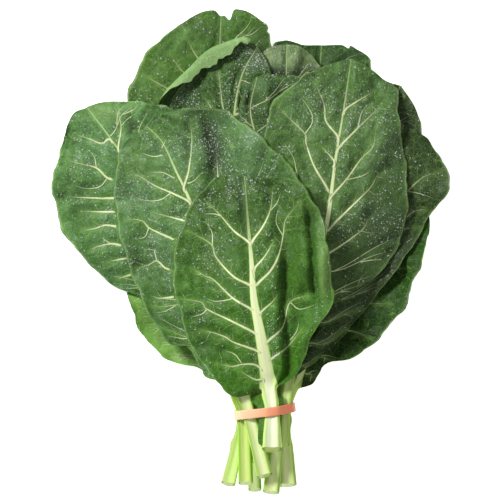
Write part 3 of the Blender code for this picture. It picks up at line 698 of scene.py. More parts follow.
def coarse_shape(leaf):
    """The rows, columns and grids that the leaf's solid has."""
    rows = np.append(STALK_ROWS - 1, np.linspace(0, 1, leaf["rows"] + 1))
    columns = columns_of(leaf, RIB_COLUMNS, BLADE_COLUMNS, ROLL_COLUMNS)
    turns = np.radians(np.linspace(172, 8, len(columns)))
    thickness = np.full(len(columns), BLADE_THICKNESS)
    top, bottom, stem, sideways = leaf_shape(leaf, rows, columns, thickness, turns, SOLID_FLATNESS, 0)
    return rows, columns, turns, top, bottom


def plan_middle():
    """The middle of the solids' plan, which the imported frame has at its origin."""
    corners = []
    for leaf in LEAVES:
        rows, columns, turns, top, bottom = coarse_shape(leaf)
        corners += [top.reshape(-1, 3), bottom.reshape(-1, 3)]
    corners = np.vstack(corners)[:, :2]
    return (corners.min(axis=0) + corners.max(axis=0)) / 2


def node_corners(name):
    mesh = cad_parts[name].data
    corners = np.empty(len(mesh.vertices) * 3)
    mesh.vertices.foreach_get("co", corners)
    return corners.reshape(-1, 3) / MM


def height_off_table(leaf, top, middle):
    """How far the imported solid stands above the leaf's own shape, at each of the solid's own places."""
    corners = node_corners(leaf["name"])
    plan = top[..., :2] - middle
    lift = np.empty(plan.shape[:2])
    for r, c in np.ndindex(lift.shape):
        away = np.linalg.norm(corners[:, :2] - plan[r, c], axis=1)
        near = corners[away < max(MATCH, away.min() + 0.001), 2]
        lift[r, c] = near.max() - top[r, c, 2]
    return lift


def stretched(values, rows, columns, fine_rows, fine_columns):
    """A grid's values, read off at finer rows and columns."""
    part = np.array([np.interp(fine_rows, rows, line) for line in values.T]).T
    return np.array([np.interp(fine_columns, columns, line) for line in part])


def softened(field, times):
    """A grid of values, each evened out with its neighbours so many times."""
    for _ in range(times):
        padded = np.pad(field, 1, mode="edge")
        field = (padded[:-2, 1:-1] + padded[2:, 1:-1] + padded[1:-1, :-2] + padded[1:-1, 2:] + 2 * field) / 6
    return field


def unevenness(points, size, seed):
    """A smooth random field from about -1 to 1 over plan points, with lumps of the given size."""
    chance = np.random.default_rng(seed)
    field = np.zeros(points.shape[:-1])
    for _ in range(14):
        heading, offset = chance.uniform(0, 2 * np.pi, 2)
        pitch = size * chance.uniform(1.4, 2.8)
        run = points[..., 0] * np.cos(heading) + points[..., 1] * np.sin(heading)
        field += np.sin(2 * np.pi * run / pitch + offset)
    return field / 4.5


def at_notches(edge, leaf):
    """How far the points of a margin move at the leaf's notches: below 0 is inwards."""
    push = np.zeros(len(edge))
    for pixel, deep, half_width in NOTCHES.get(leaf["name"], ()):
        away = np.linalg.norm(edge - plan_of(pixel), axis=1)
        push -= deep * np.exp(-((away / half_width) ** 2))
    return push


def ragged(grid, leaf, rows, places, seed, middle):
    """Moves the margins in and out by a little, as a real leaf's are, and in at its notches."""
    chance = np.random.default_rng(seed)
    for side in (-1, 1):
        here = places * side > 0
        if np.abs(places[here]).max() > 1 + 1e-9:
            continue
        edge, inside = (grid[:, 0, :2], grid[:, 4, :2]) if side < 0 else (grid[:, -1, :2], grid[:, -5, :2])
        out = unit(edge - inside)
        run = along(edge)
        push = np.zeros(len(run))
        for pitch, size in RAGGED:
            push += size * np.sin(2 * np.pi * run / pitch + chance.uniform(0, 2 * np.pi))
        push *= ease((run - SMOOTH_FOOT) / RAGGED_BY)
        push += at_notches(edge + middle, leaf)
        weight = np.abs(places[here]) ** 6
        grid[:, here, :2] += out[:, None] * push[:, None, None] * weight[None, :, None]
    out = unit(grid[-1, :, :2] - grid[-6, :, :2])
    push = at_notches(grid[-1, :, :2] + middle, leaf)
    weight = np.clip(rows, 0, 1) ** 30
    grid[..., :2] += weight[:, None, None] * (out * push[:, None])[None]


def grid_places(plan, points):
    """Where plan points fall in a grid of plan points, as fractional rows and columns."""
    down, across = np.gradient(plan, axis=0), np.gradient(plan, axis=1)
    found = []
    for point in points:
        r, c = np.unravel_index(np.argmin(((plan - point) ** 2).sum(-1)), plan.shape[:2])
        step = np.linalg.lstsq(np.stack([down[r, c], across[r, c]], -1), point - plan[r, c], rcond=None)[0]
        found.append([r, c] + np.clip(step, -1, 1))
    return np.array(found)


def read_grid(grid, places):
    """A grid's values at fractional rows and columns."""
    rows = np.clip(places[:, 0], 0, grid.shape[0] - 1.001)
    columns = np.clip(places[:, 1], 0, grid.shape[1] - 1.001)
    r, c = rows.astype(int), columns.astype(int)
    a, b = (rows - r)[:, None], (columns - c)[:, None]
    upper = grid[r, c] * (1 - b) + grid[r, c + 1] * b
    lower = grid[r + 1, c] * (1 - b) + grid[r + 1, c + 1] * b
    return upper * (1 - a) + lower * a


def drawn_veins(leaf, plan, middle_column):
    """The veins read from the photograph, as grid places with a width at each end."""
    veins = []
    for table, widths in ((VEINS, VEIN_WIDTHS), (TWIGS, TWIG_WIDTHS)):
        for pixels in table.get(leaf["name"], ()):
            line = plan_of(pixels)
            if table is VEINS:
                row = grid_places(plan, line[:1])[0, 0]
                side = np.sign(grid_places(plan, line[-1:])[0, 1] - middle_column)
                inside = 7 - 3 * min(1, (row - FINE_STALK_ROWS.size) / 60)
                root = [[max(0, row - VEIN_LEAVES_EARLY), middle_column + inside * side]]
                root = read_grid(plan, np.array(root))
                if np.linalg.norm(root - line[0]) < VEIN_REACH:
                    line = np.vstack([root, line])
            line = curve_through(line)
            line = at(line, np.linspace(0, 1, max(6, int(along(line)[-1] / 2))))
            veins.append((grid_places(plan, line), *widths))
    return veins


def regular_veins(rows, columns, drawn, seed):
    """Side veins by rule where the photograph shows none, as grid places with a width at each end."""

    def grid_line(run, place):
        return np.stack([np.interp(run, rows, np.arange(len(rows))),
                         np.interp(place, columns, np.arange(len(columns)))], -1)

    chance = np.random.default_rng(seed)
    share = np.linspace(0, 1, 32)
    veins = []
    for side in (-1, 1):
        starts = [vein[0, 0] for vein, first, last in drawn
                  if first > 2 and (vein[-1, 1] - vein[0, 1]) * side > 0]
        first_drawn = min(starts) if len(starts) > 1 else len(rows)
        v = 0.07 + 0.03 * chance.random()
        while v < 0.93:
            if np.interp(v, rows, np.arange(len(rows))) < first_drawn - 5:
                end = 0.93 - 0.1 * chance.random()
                sway = 0.012 * np.sin(2 * np.pi * (share * 1.3 + chance.random())) * share
                run = v + sway + 0.03 * share**2
                place = side * (RIB_EDGE * 0.8 + (end + 0.25) * share)
                veins.append((grid_line(run, place), 2.3 * (1 - 0.5 * v), 0.7))
                for fork, lean in ((0.42, 0.035), (0.66, -0.025)):
                    start = int(fork * len(share))
                    rest = share[start:] - share[start]
                    bent = run[start:] + lean * (rest / rest[-1]) ** 0.8
                    veins.append((grid_line(bent, place[start:]), *FORK_WIDTHS))
            v += 0.075 + 0.03 * chance.random()
    return veins


def side_branches(plan, veins, seed):
    """Short fine branches that leave every larger vein on both sides in turn, as grid places."""
    chance = np.random.default_rng(seed)
    branches = []
    for places, first, last in veins:
        line = read_grid(plan, places)
        length = along(line)[-1]
        if first < BRANCHING or length < 14:
            continue
        side = 1
        run = 8 * chance.uniform(0.6, 1.2)
        while run < length - 4:
            here, nearby = at(line, run / length), at(line, min(1, run / length + 0.03))
            heading = np.arctan2(*(nearby - here)[::-1]) + side * chance.uniform(0.8, 1.2)
            turn = -side * chance.uniform(-0.4, 1.0)
            angles = heading + turn * np.linspace(0, 1, 5) + chance.normal(0, 0.25, 5)
            steps = np.stack([np.cos(angles), np.sin(angles)], -1) * chance.uniform(8, 17) / 5
            branch = np.vstack([here, here + np.cumsum(steps, axis=0)])
            found = grid_places(plan, branch)
            off = np.linalg.norm(read_grid(plan, found) - branch, axis=1)
            if off.max() < 1.0:
                branches.append((found, *BRANCH_WIDTHS))
            side = -side
            run += chance.uniform(5, 9)
    return branches


def nearest_vein(plan, veins, rib_line):
    """How far each plan point lies from the nearest vein or the midrib."""
    points = np.vstack([read_grid(plan, places) for places, first, last in veins] + [rib_line])
    flat = plan.reshape(-1, 2)
    away = np.empty(len(flat))
    for start in range(0, len(flat), 2000):
        gap = flat[start : start + 2000, None] - points[None]
        away[start : start + 2000] = np.sqrt((gap**2).sum(-1).min(axis=1))
    return away.reshape(plan.shape[:2])


def finer(grid, samples):
    """A grid's facets, sampled closely in both directions."""
    for axis in (0, 1):
        n = grid.shape[axis]
        where = np.linspace(0, n - 1, (n - 1) * samples + 1)
        low = np.minimum(where.astype(int), n - 2)
        part = (where - low).reshape([-1 if a == axis else 1 for a in range(grid.ndim)])
        grid = np.take(grid, low, axis) * (1 - part) + np.take(grid, low + 1, axis) * part
    return grid


def cell_of(points):
    """The cells of the pile that points lie in."""
    cells = ((points[..., :2] + FIELD) / CELL).astype(int)
    return tuple(np.clip(np.moveaxis(cells, -1, 0), 0, int(2 * FIELD / CELL) - 1))


def lie_on(top, bottom, stem, flat, pile):
    """Eases a leaf's blade clear of the leaves below it, and adds it to the pile."""
    low = np.minimum(top[..., 2], bottom[..., 2])
    need = np.maximum(pile[cell_of(bottom)], pile[cell_of(top)]) + TOUCH - low
    need = np.where(stem[:, None] > 0.3, 0, np.maximum(need, 0))
    lift = softened(need, 2)
    for _ in range(12):
        lift = np.maximum(need, softened(lift, 2))
    lift = softened(lift, 3)
    top[..., 2] += lift
    bottom[..., 2] = np.maximum(bottom[..., 2] + lift, 0)
    top[:, flat, 2] = np.maximum(top[:, flat, 2], bottom[:, flat, 2] + EDGE_THIN)
    tops = finer(np.maximum(top[..., 2], bottom[..., 2])[..., None], 3)[..., 0]
    np.maximum.at(pile, cell_of(finer(top, 3)), tops)


def slant_cut(top, bottom, columns, reach, outward):
    """Slants the stalk's cut end, so that its face shows a little from above. Outward is the share of the
    slant by which the end's lower edge moves out, while its upper edge moves in by the rest."""
    middle = len(columns) // 2
    ahead = unit(top[CUT_ROWS, middle, :2] - top[0, middle, :2])
    floor = bottom[0, :, 2].min()
    depth = top[0, :, 2].max() - floor
    for row in range(CUT_ROWS):
        for grid in (top, bottom):
            share = ((grid[row, :, 2] - floor) / depth - outward) * (1 - row / CUT_ROWS)
            grid[row, :, :2] += ahead * (reach * share)[:, None]


def winged(leaf, top, bottom, rows, reach):
    """Draws a stalk's sides out into narrow wings of blade, and marks them as blade in reach."""
    share = rows[rows < 0] + 1
    for side, width, flare, down_to in WINGS.get(leaf["name"], ()):
        wide = width * ease((share - down_to) / 0.12) * (0.75 + 0.25 * share)
        wide = wide + flare * ease((share - 0.7) / 0.3)
        for k in range(WING_COLUMNS):
            c, inside = (k, WING_COLUMNS) if side == "left" else (-1 - k, -1 - WING_COLUMNS)
            out = unit(top[: len(share), c, :2] - top[: len(share), inside, :2])
            part = 1 - k / WING_COLUMNS
            for grid in (top, bottom):
                grid[: len(share), c, :2] += out * (wide * part)[:, None]
                grid[: len(share), c, 2] -= WING_DROOP * wide / width * part
            reach[: len(share), c] += ease(wide) * (0.8 + part)


def creased(leaf, plan):
    """How far each place of a leaf is pressed down, or up below 0, by its creases."""
    depth = np.zeros(plan.shape[:2])
    for pixels, deep, half_width in CREASES.get(leaf["name"], ()):
        line = at(curve_through(plan_of(pixels)), np.linspace(0, 1, 60))
        gap = np.linalg.norm(plan[:, :, None] - line, axis=-1)
        nearest = gap.argmin(axis=-1) / 59
        fade = ease(nearest / 0.3) * ease((1 - nearest) / 0.3) + 0.15
        depth += deep * fade * np.exp(-((gap.min(axis=-1) / half_width) ** 2))
    return depth


def painted_shade_and_tone(leaf, plan):
    """How much darker or, below 0, lighter each place of a leaf is painted: painted shade and painted light,
    and partly the leaf's own duller and fresher patches.
    """
    pixels = pixels_of(plan)
    shade_and_tone = np.zeros(plan.shape[:2])
    for rows, edge, strength in SHADED_RIGHT.get(leaf["name"], ()):
        shade_and_tone += strength * ease((pixels[..., 0] - np.interp(pixels[..., 1], rows, edge)) / 5 + 0.5)
    for *where, strength in TONE_AND_SHADE_PATCHES.get(leaf["name"], ()):
        shade_and_tone += strength * spot(pixels, *where)
    return shade_and_tone


def dewiness(shape):
    """The share of its drops that each place of a leaf has."""
    name = shape["leaf"]["name"]
    if name not in DEWY:
        return np.ones(shape["plan"].shape[:2])
    pixels = pixels_of(shape["plan"])
    share = np.full(pixels.shape[:2], DEW_BETWEEN.get(name, 0.45))
    for where in DEWY[name]:
        share += spot(pixels, *where)
    return np.minimum(share, 1)


def puffed(plan, places, veins, rib_line, creases, order):
    """How far a blade rises between its veins, along its margins and in its creases."""
    free = np.clip(np.abs(places) * 8, 0, 1)[None]
    puff = PUFF * (1 - np.exp(-((nearest_vein(plan, veins, rib_line) / PUFF_WIDTH) ** 2))) * free
    puff = puff + 0.9 * unevenness(plan, 10, order + 50) * free
    puff = puff + 0.45 * unevenness(plan, 4.5, order + 80) * free
    puff = puff + 1.1 * np.clip(np.abs(places), 0, 1)[None] ** 4 * unevenness(plan, 13, order + 20)
    return puff * np.where(np.abs(places) > 1, 0.3, 1) - creases * free


def fine_leaf(leaf, middle, pile, order):
    """One finished leaf: its grids, its veins as grid places, and the values that its finish reads."""
    rows, columns, turns, top, bottom = coarse_shape(leaf)
    lift = height_off_table(leaf, top, middle)
    blade_rows = OPEN_LEAF_ROWS if leaf["rows"] > 12 else COVERED_LEAF_ROWS
    fine_rows = np.append(FINE_STALK_ROWS - 1, np.linspace(0, 1, blade_rows))
    fine_columns = columns_of(leaf, FINE_RIB, FINE_BLADE, FINE_ROLL)
    fine_turns = np.interp(fine_columns, columns, turns)
    places = np.sign(fine_columns) * np.maximum(np.abs(fine_columns) - RIB_EDGE, 0)
    flat = np.abs(places) <= 1
    thickness = EDGE_THIN + (BLADE_THIN - EDGE_THIN) * (1 - np.clip(np.abs(places), 0, 1) ** 3)
    shape = leaf_shape(leaf, fine_rows, fine_columns, thickness, fine_turns, FINE_FLATNESS, 1)
    top, bottom, stem, sideways = shape
    for grid in (top, bottom):
        grid[..., :2] -= middle
        ragged(grid, leaf, fine_rows, places, order, middle)
    plan = top[..., :2].copy()
    rib_column = int(np.argmin(np.abs(fine_columns)))
    rib_line = at(plan[FINE_STALK_ROWS.size :, rib_column], np.linspace(0, 1, 200))
    drawn = drawn_veins(leaf, plan + middle, rib_column)
    veins = drawn + regular_veins(fine_rows, fine_columns, drawn, order)
    main = nearest_vein(plan, [vein for vein in veins if vein[1] > BRANCHING], rib_line)
    creases = creased(leaf, plan + middle)
    puff = puffed(plan, places, veins, rib_line, creases, order)
    veins = veins + side_branches(plan, veins, order + 7)
    blade, upward = 1 - stem[:, None], np.clip(fine_rows, 0, 1)
    raised = RIB_RAISED * np.clip(1 - (fine_columns / 0.85) ** 4, 0, 1)
    raised = raised * (rib_half_width(leaf, upward) / 5)[:, None]
    rise = softened(stretched(lift, rows, columns, fine_rows, fine_columns), 10) + blade * (puff + raised)
    top[..., 2] += rise
    bottom[..., 2] += rise
    slant_cut(top, bottom, fine_columns, *SLANTS.get(leaf["name"], USUAL_SLANT))
    lie_on(top, bottom, stem, flat, pile)
    reach = stem[:, None] * np.abs(sideways) + blade * np.abs(fine_columns)
    winged(leaf, top, bottom, fine_rows, reach)
    points = dict(
        reach=reach,
        stem=np.broadcast_to(stem[:, None], reach.shape),
        halo=np.exp(-((main / HALO_WIDTH) ** 2)) * blade * (1 - 0.7 * upward[:, None]),
        side=stem[:, None] * sideways * leaf["stalk"][1] / 2 + blade * fine_columns * 5,
        length=np.broadcast_to(fine_rows[:, None], reach.shape),
        # Painted shade and light, partly the leaf's own tone: darker in patches and creases, lighter on
        # ridges
        shade_and_tone=painted_shade_and_tone(leaf, plan + middle) + CREASE_SHADE_AND_LIGHT * np.clip(creases, -3, 7),
        # Painted highlight along the margins, where they catch the light
        rim=blade * ease((np.abs(places) - 0.96) / 0.04) * flat,
    )
    return dict(leaf=leaf, plan=plan + middle, top=top, bottom=bottom, columns=fine_columns, veins=veins,
                points=points)


def add_values(mesh, name, values):
    layer = mesh.attributes.new(name, "FLOAT", "POINT")
    layer.data.foreach_set("value", np.ascontiguousarray(values, np.float32).ravel())


def new_piece(name, vertices, faces, materials, indices=None):
    mesh = bpy.data.meshes.new(name)
    mesh.from_pydata((np.asarray(vertices, float) * MM).tolist(), [], np.asarray(faces).tolist())
    for material in materials:
        mesh.materials.append(material)
    if indices is not None:
        mesh.polygons.foreach_set("material_index", np.asarray(indices, np.int32))
    mesh.shade_smooth()
    piece = bpy.data.objects.new(name, mesh)
    bpy.context.scene.collection.objects.link(piece)
    return piece


def sheet_faces(rows, columns):
    """The places of a grid's points in their list, and its faces."""
    index = np.arange(rows * columns).reshape(rows, columns)
    faces = np.stack([index[:-1, :-1], index[:-1, 1:], index[1:, 1:], index[1:, :-1]], -1)
    return index, faces.reshape(-1, 4)


def leaf_piece(shape, materials):
    """One closed skin round a leaf's two grids: blade above, underside below, and the stalk's cut end."""
    top, bottom = shape["top"], shape["bottom"]
    rows, columns = top.shape[:2]
    index, upper = sheet_faces(rows, columns)
    under = rows * columns
    rim = np.concatenate([index[0], index[1:, -1], index[-1, -2::-1], index[-2:0:-1, 0]])
    after = np.roll(rim, -1)
    edge = np.stack([rim, rim + under, after + under, after], -1)
    cut = np.arange(len(edge)) < columns - 1
    kinds = np.concatenate([np.zeros(len(upper)), np.ones(len(upper)), np.where(cut, 2, 0)])
    vertices = np.vstack([top.reshape(-1, 3), bottom.reshape(-1, 3)])
    faces = np.vstack([upper, upper[:, ::-1] + under, edge])
    piece = new_piece(shape["leaf"]["name"] + "_fine", vertices, faces, materials, kinds)
    for name, values in shape["points"].items():
        add_values(piece.data, name, np.stack([values, values]))
    piece.data.set_sharp_from_angle(angle=np.radians(60))
    return piece


def tube(points, normals, half_widths, heights):
    """Rings of a low, closed, rounded ridge laid on a surface, and how far each point is from its crest."""
    side = unit(np.cross(unit(np.gradient(points, axis=0)), normals))
    sideways, upwards = RIDGE.T
    rings = points[:, None] + side[:, None] * (half_widths[:, None] * sideways)[..., None]
    rings = rings + normals[:, None] * (heights[:, None] * upwards)[..., None]
    n, k = len(points), len(RIDGE)
    index = np.arange(n * k).reshape(n, k)
    a, b = index[:-1], index[1:]
    faces = np.stack([a, np.roll(a, -1, 1), np.roll(b, -1, 1), b], -1).reshape(-1, 4)
    caps = [index[0, [5, 4, 1, 0]], index[0, [4, 3, 2, 1]], index[-1, [0, 1, 4, 5]], index[-1, [1, 2, 3, 4]]]
    return rings.reshape(-1, 3), np.vstack([faces, caps]), np.tile(np.abs(sideways), n)


def vein_piece(shape, face, materials):
    """The side veins on one face of a leaf, as low ridges that narrow outwards. Fine ones show above only."""
    grid = shape[face]
    normals = outward_directions(grid, 0) * (1 if face == "top" else -1)
    vertices, faces = [], []
    values = dict(crest=[], fade=[], faint=[])
    count = 0
    for places, first, last in shape["veins"]:
        if face == "bottom":
            if first < LEAST_BELOW:
                continue
            places = places[::2]
        places = places[places[:, 0] < grid.shape[0] - 1.5]
        if len(places) < 4:
            continue
        share = np.linspace(0, 1, len(places))
        widths = (first + (last - first) * share**0.6) * np.clip((1 - share) * 6, 0.25, 1)
        points, out = read_grid(grid, places), unit(read_grid(normals, places))
        heights = np.maximum(VEIN_RISE[face] * widths / 2.5, 0.16) * ease(share * 8 + 0.1)
        sunk = 0.06 - 0.5 * (1 - ease(share * 12)) * (first > BRANCHING)
        ring, sides, across = tube(points + out * sunk[:, None], out, widths / 2, heights)
        ring[:, 2] = np.maximum(ring[:, 2], 0.05 * across)
        vertices.append(ring)
        faces.append(sides + count)
        values["crest"].append(across)
        values["fade"].append(np.repeat(share, len(RIDGE)))
        values["faint"].append(np.full(len(ring), float(first < 1.0)))
        count += len(ring)
    name = f"{shape['leaf']['name']}_veins_{face}"
    piece = new_piece(name, np.vstack(vertices), np.vstack(faces), materials)
    for name, parts in values.items():
        add_values(piece.data, name, np.concatenate(parts))
    return piece


# Finishes


def feed(tree, made, inputs):
    """Gives a shader node its inputs: each is a value or another node's socket."""
    for name, value in inputs.items():
        if isinstance(value, bpy.types.NodeSocket):
            tree.links.new(value, made.inputs[name])
        else:
            made.inputs[name].default_value = value


def node(tree, kind, inputs=None, **settings):
    """A new shader node with its settings and inputs."""
    made = tree.nodes.new(kind)
    for name, value in settings.items():
        setattr(made, name, value)
    feed(tree, made, inputs or {})
    return made


def mixed(tree, share, one, other, how="MIX"):
    """One colour turned into another by a share."""
    ends = {0: share, 6: one, 7: other}
    return node(tree, "ShaderNodeMix", ends, data_type="RGBA", blend_type=how).outputs[2]


def ranged(tree, value, low, high, to_low=0.0, to_high=1.0):
    """A value carried smoothly from one range to another."""
    ends = {"Value": value, "From Min": low, "From Max": high, "To Min": to_low, "To Max": to_high}
    return node(tree, "ShaderNodeMapRange", ends, interpolation_type="SMOOTHSTEP").outputs["Result"]


def worked_out(tree, one, other, how="ADD"):
    return node(tree, "ShaderNodeMath", {0: one, 1: other}, operation=how).outputs[0]


def scaled(tree, value, factor):
    return worked_out(tree, value, factor, "MULTIPLY")


def weighted(tree, *parts):
    """The sum of values, each times its weight."""
    total = 0.0
    for value, weight in parts:
        total = worked_out(tree, total, scaled(tree, value, weight))
    return total


def of_piece(tree, name):
    """A value that the piece carries at each of its points."""
    return node(tree, "ShaderNodeAttribute", attribute_name=name).outputs["Fac"]


def place_of(tree, stretch=(1, 1, 1)):
    """The place on the piece, in metres, stretched as given."""
    where = node(tree, "ShaderNodeTexCoord").outputs["Object"]
    return node(tree, "ShaderNodeMapping", {"Vector": where, "Scale": stretch}).outputs["Vector"]


def noise(tree, where, scale, detail=3.0):
    made = node(tree, "ShaderNodeTexNoise", {"Vector": where, "Scale": scale, "Detail": detail})
    return made.outputs["Fac"]


def net(tree, where, scale, width):
    """Fine vein lines between cells: 1 on a line, 0 inside a cell."""
    wander = node(tree, "ShaderNodeTexNoise", {"Vector": where, "Scale": scale * 0.8, "Detail": 1.0})
    shift = {0: wander.outputs["Color"], 1: (0.5 / scale,) * 3}
    bent = node(tree, "ShaderNodeVectorMath", shift, operation="MULTIPLY").outputs[0]
    bent = node(tree, "ShaderNodeVectorMath", {0: where, 1: bent}, operation="ADD").outputs[0]
    cells = node(tree, "ShaderNodeTexVoronoi", {"Vector": bent, "Scale": scale}, feature="DISTANCE_TO_EDGE")
    return ranged(tree, cells.outputs["Distance"], 0.0, width, 1.0, 0.0)


def new_finish(name):
    material = bpy.data.materials.new(name)
    material.use_nodes = True
    return material, material.node_tree, material.node_tree.nodes["Principled BSDF"]


def fibres(tree):
    """Streaks along a stalk or midrib, from 0 to 1: broad facets and fine lines."""
    run = {"X": of_piece(tree, "side"), "Y": of_piece(tree, "length")}
    run = node(tree, "ShaderNodeCombineXYZ", run).outputs[0]
    return weighted(tree, (noise(tree, run, 0.45, 1.0), 0.6), (noise(tree, run, 1.7, 2.0), 0.4))


def times(colour, factor):
    return (*(min(1.0, channel * factor) for channel in colour[:3]), 1.0)


def add_stalk(tree, blade_colour, crown, side, fades=RIB_FADES):
    """The blade's colour with the midrib and stalk laid over it."""
    stem = of_piece(tree, "stem")
    reach = of_piece(tree, "reach")
    length = of_piece(tree, "length")
    inside = worked_out(tree, reach, scaled(tree, stem, 0.35), "SUBTRACT")
    inside = worked_out(tree, inside, ranged(tree, length, 0.1, 0.9, -0.16, 0.3))
    on_rib = ranged(tree, inside, 0.66, 0.86, 1.0, 0.0)
    streaks = fibres(tree)
    flank = mixed(tree, ranged(tree, streaks, 0.4, 0.62), times(side, 0.7), times(side, 1.4))
    ridge = mixed(tree, ranged(tree, streaks, 0.38, 0.6), times(crown, 0.86), crown)
    stalk = mixed(tree, ranged(tree, reach, 0.25, 0.9), ridge, flank)
    rib = mixed(tree, ranged(tree, streaks, 0.3, 0.7), times(RIB_PALE, 0.8), RIB_PALE)
    rib = mixed(tree, ranged(tree, reach, 0.2, 0.8, 0.0, 0.45), rib, times(side, 1.2))
    pale = mixed(tree, stem, rib, stalk)
    tip = ranged(tree, length, *fades)
    pale = mixed(tree, scaled(tree, tip, 0.8), pale, blade_colour)
    return mixed(tree, on_rib, blade_colour, pale)


def add_relief(tree, shader, depth, *heights):
    """Bumps from the given heights, each with its strength."""
    bump = {"Height": weighted(tree, *heights), "Strength": 0.8, "Distance": depth * MM}
    feed(tree, shader, {"Normal": node(tree, "ShaderNodeBump", bump).outputs["Normal"]})


def add_skin(tree, shader, depth, *heights):
    """Bumps on the blade, which fade out at the midrib, and fibres along the stalk."""
    on_blade = ranged(tree, of_piece(tree, "reach"), 0.9, 1.3)
    skin = scaled(tree, weighted(tree, *heights), on_blade)
    add_relief(tree, shader, depth, (skin, 1.0), (fibres(tree), 0.5))


def patchy(tree, colour, value, low, high, strength, tint):
    """A colour multiplied by a tint where a value is high."""
    return mixed(tree, scaled(tree, ranged(tree, value, low, high), strength), colour, tint, "MULTIPLY")


def blade_finish(name, look):
    """The waxy upper face: deep green with a bluish bloom, a fine net of veins, pale midrib and stalk,
    painted shade and light, and a painted highlight along the margins.
    """
    material, tree, shader = new_finish(name)
    where = place_of(tree)
    length = of_piece(tree, "length")
    colour = mixed(tree, ranged(tree, length, 0.1, 0.9), paint(*look["base"]), paint(*look["tip"]))
    colour = patchy(tree, colour, noise(tree, where, 24.0), 0.4, 0.65, 0.5, (0.62, 0.68, 0.55, 1))
    blotches = noise(tree, where, 90.0)
    colour = patchy(tree, colour, blotches, 0.4, 0.7, 0.6, (1.5, 1.35, 1.3, 1))
    mottle = noise(tree, where, 320.0)
    colour = patchy(tree, colour, mottle, 0.42, 0.68, 0.75, (0.45, 0.5, 0.42, 1))
    bloom = scaled(tree, ranged(tree, noise(tree, where, 33.0, 5.0), 0.42, 0.7), look["bloom"] * 0.45)
    colour = mixed(tree, bloom, colour, paint(104, 140, 108))
    coarse, fine = net(tree, where, 170.0, 0.06), net(tree, where, 480.0, 0.09)
    lines = weighted(tree, (coarse, 0.24), (fine, 0.12), (of_piece(tree, "halo"), 0.36))
    colour = mixed(tree, lines, colour, paint(140, 190, 84))
    shade_and_tone = of_piece(tree, "shade_and_tone")
    # Painted shade, partly the leaf's own duller tone: towards a near-black green where the value is above 0
    colour = mixed(tree, ranged(tree, shade_and_tone, 0.0, 1.0), colour, (0.028, 0.05, 0.014, 1))
    # Painted light, partly the leaf's own fresher tone: towards a paler green where the value is below 0
    colour = mixed(tree, ranged(tree, shade_and_tone, -1.0, 0.0, 1.0, 0.0), colour, paint(170, 205, 120))
    # Painted highlight: the margins paler, as where they catch the light
    colour = mixed(tree, scaled(tree, of_piece(tree, "rim"), 0.45), colour, paint(168, 204, 120))
    fades = look.get("fades", RIB_FADES)
    colour = add_stalk(tree, colour, paint(*look["crown"]), paint(*look["side"]), fades)
    roughness = ranged(tree, blotches, 0.3, 0.7, 0.34, 0.5)
    feed(tree, shader, {"Base Color": colour, "Roughness": roughness, "Specular IOR Level": 0.2})
    add_skin(tree, shader, 0.85, (coarse, -0.5), (fine, -0.3), (mottle, 0.4), (blotches, 1.4))
    return material


def underside_finish(name, look):
    """The duller, paler face below."""
    material, tree, shader = new_finish(name)
    where = place_of(tree)
    pale = paint(*look["base"]) if look.get("pale") else paint(120, 156, 94)
    patches = noise(tree, where, 30.0, 4.0)
    colour = mixed(tree, ranged(tree, patches, 0.3, 0.7), times(pale, 0.8), times(pale, 1.12))
    coarse, fine = net(tree, where, 190.0, 0.1), net(tree, where, 520.0, 0.12)
    lines = weighted(tree, (coarse, 0.16), (fine, 0.08), (of_piece(tree, "halo"), 0.2))
    colour = mixed(tree, lines, colour, paint(186, 210, 140))
    # Painted shade, partly the leaf's own duller tone: darker and browner where the value is high
    colour = mixed(tree, ranged(tree, of_piece(tree, "shade_and_tone"), 0.12, 1.0), colour, paint(84, 78, 56))
    colour = add_stalk(tree, colour, times(paint(*look["side"]), 1.2), paint(*look["side"]))
    feed(tree, shader, {"Base Color": colour, "Roughness": 0.6, "Specular IOR Level": 0.25})
    add_skin(tree, shader, 0.6, (coarse, 0.7), (fine, 0.4), (patches, 0.8))
    return material


def vein_finish(name, look, below):
    """Veins: pale along the crest, and the blade's own green at their sides and ends."""
    material, tree, shader = new_finish(name)
    blade = paint(130, 162, 100) if below or look.get("pale") else paint(*look["base"])
    pale = mixed(tree, 0.25 if below else 1 - look["veins"], times(RIB_PALE, 0.84), blade)
    fade = of_piece(tree, "fade")
    middle = ranged(tree, of_piece(tree, "crest"), 0.3, 1.0, 1.0, 0.25)
    root = ranged(tree, fade, 0.03, 0.14, 1.0, 0.0)
    share = scaled(tree, worked_out(tree, middle, root, "MAXIMUM"), ranged(tree, fade, 0.3, 1.0, 1.0, 0.35))
    share = scaled(tree, share, ranged(tree, of_piece(tree, "faint"), 0.0, 1.0, 1.0, 0.4))
    speckle = noise(tree, place_of(tree), 300.0, 2.0)
    colour = patchy(tree, pale, speckle, 0.3, 0.7, 0.3, (0.7, 0.75, 0.6, 1))
    colour = mixed(tree, share, blade, colour)
    feed(tree, shader, {"Base Color": colour, "Roughness": 0.45, "Specular IOR Level": 0.3})
    add_relief(tree, shader, 0.15, (speckle, 0.4))
    return material


def cut_finish():
    """The stalk's cut end: pale and wet, with a ring of fibres."""
    material, tree, shader = new_finish("cut_end")
    grains = noise(tree, place_of(tree), 900.0)
    colour = mixed(tree, ranged(tree, grains, 0.3, 0.7), paint(166, 196, 84), paint(214, 228, 140))
    colour = mixed(tree, ranged(tree, of_piece(tree, "reach"), 0.5, 0.95), colour, paint(80, 126, 30))
    feed(tree, shader, {"Base Color": colour, "Roughness": 0.35})
    add_relief(tree, shader, 0.4, (grains, 1.0))
    return material


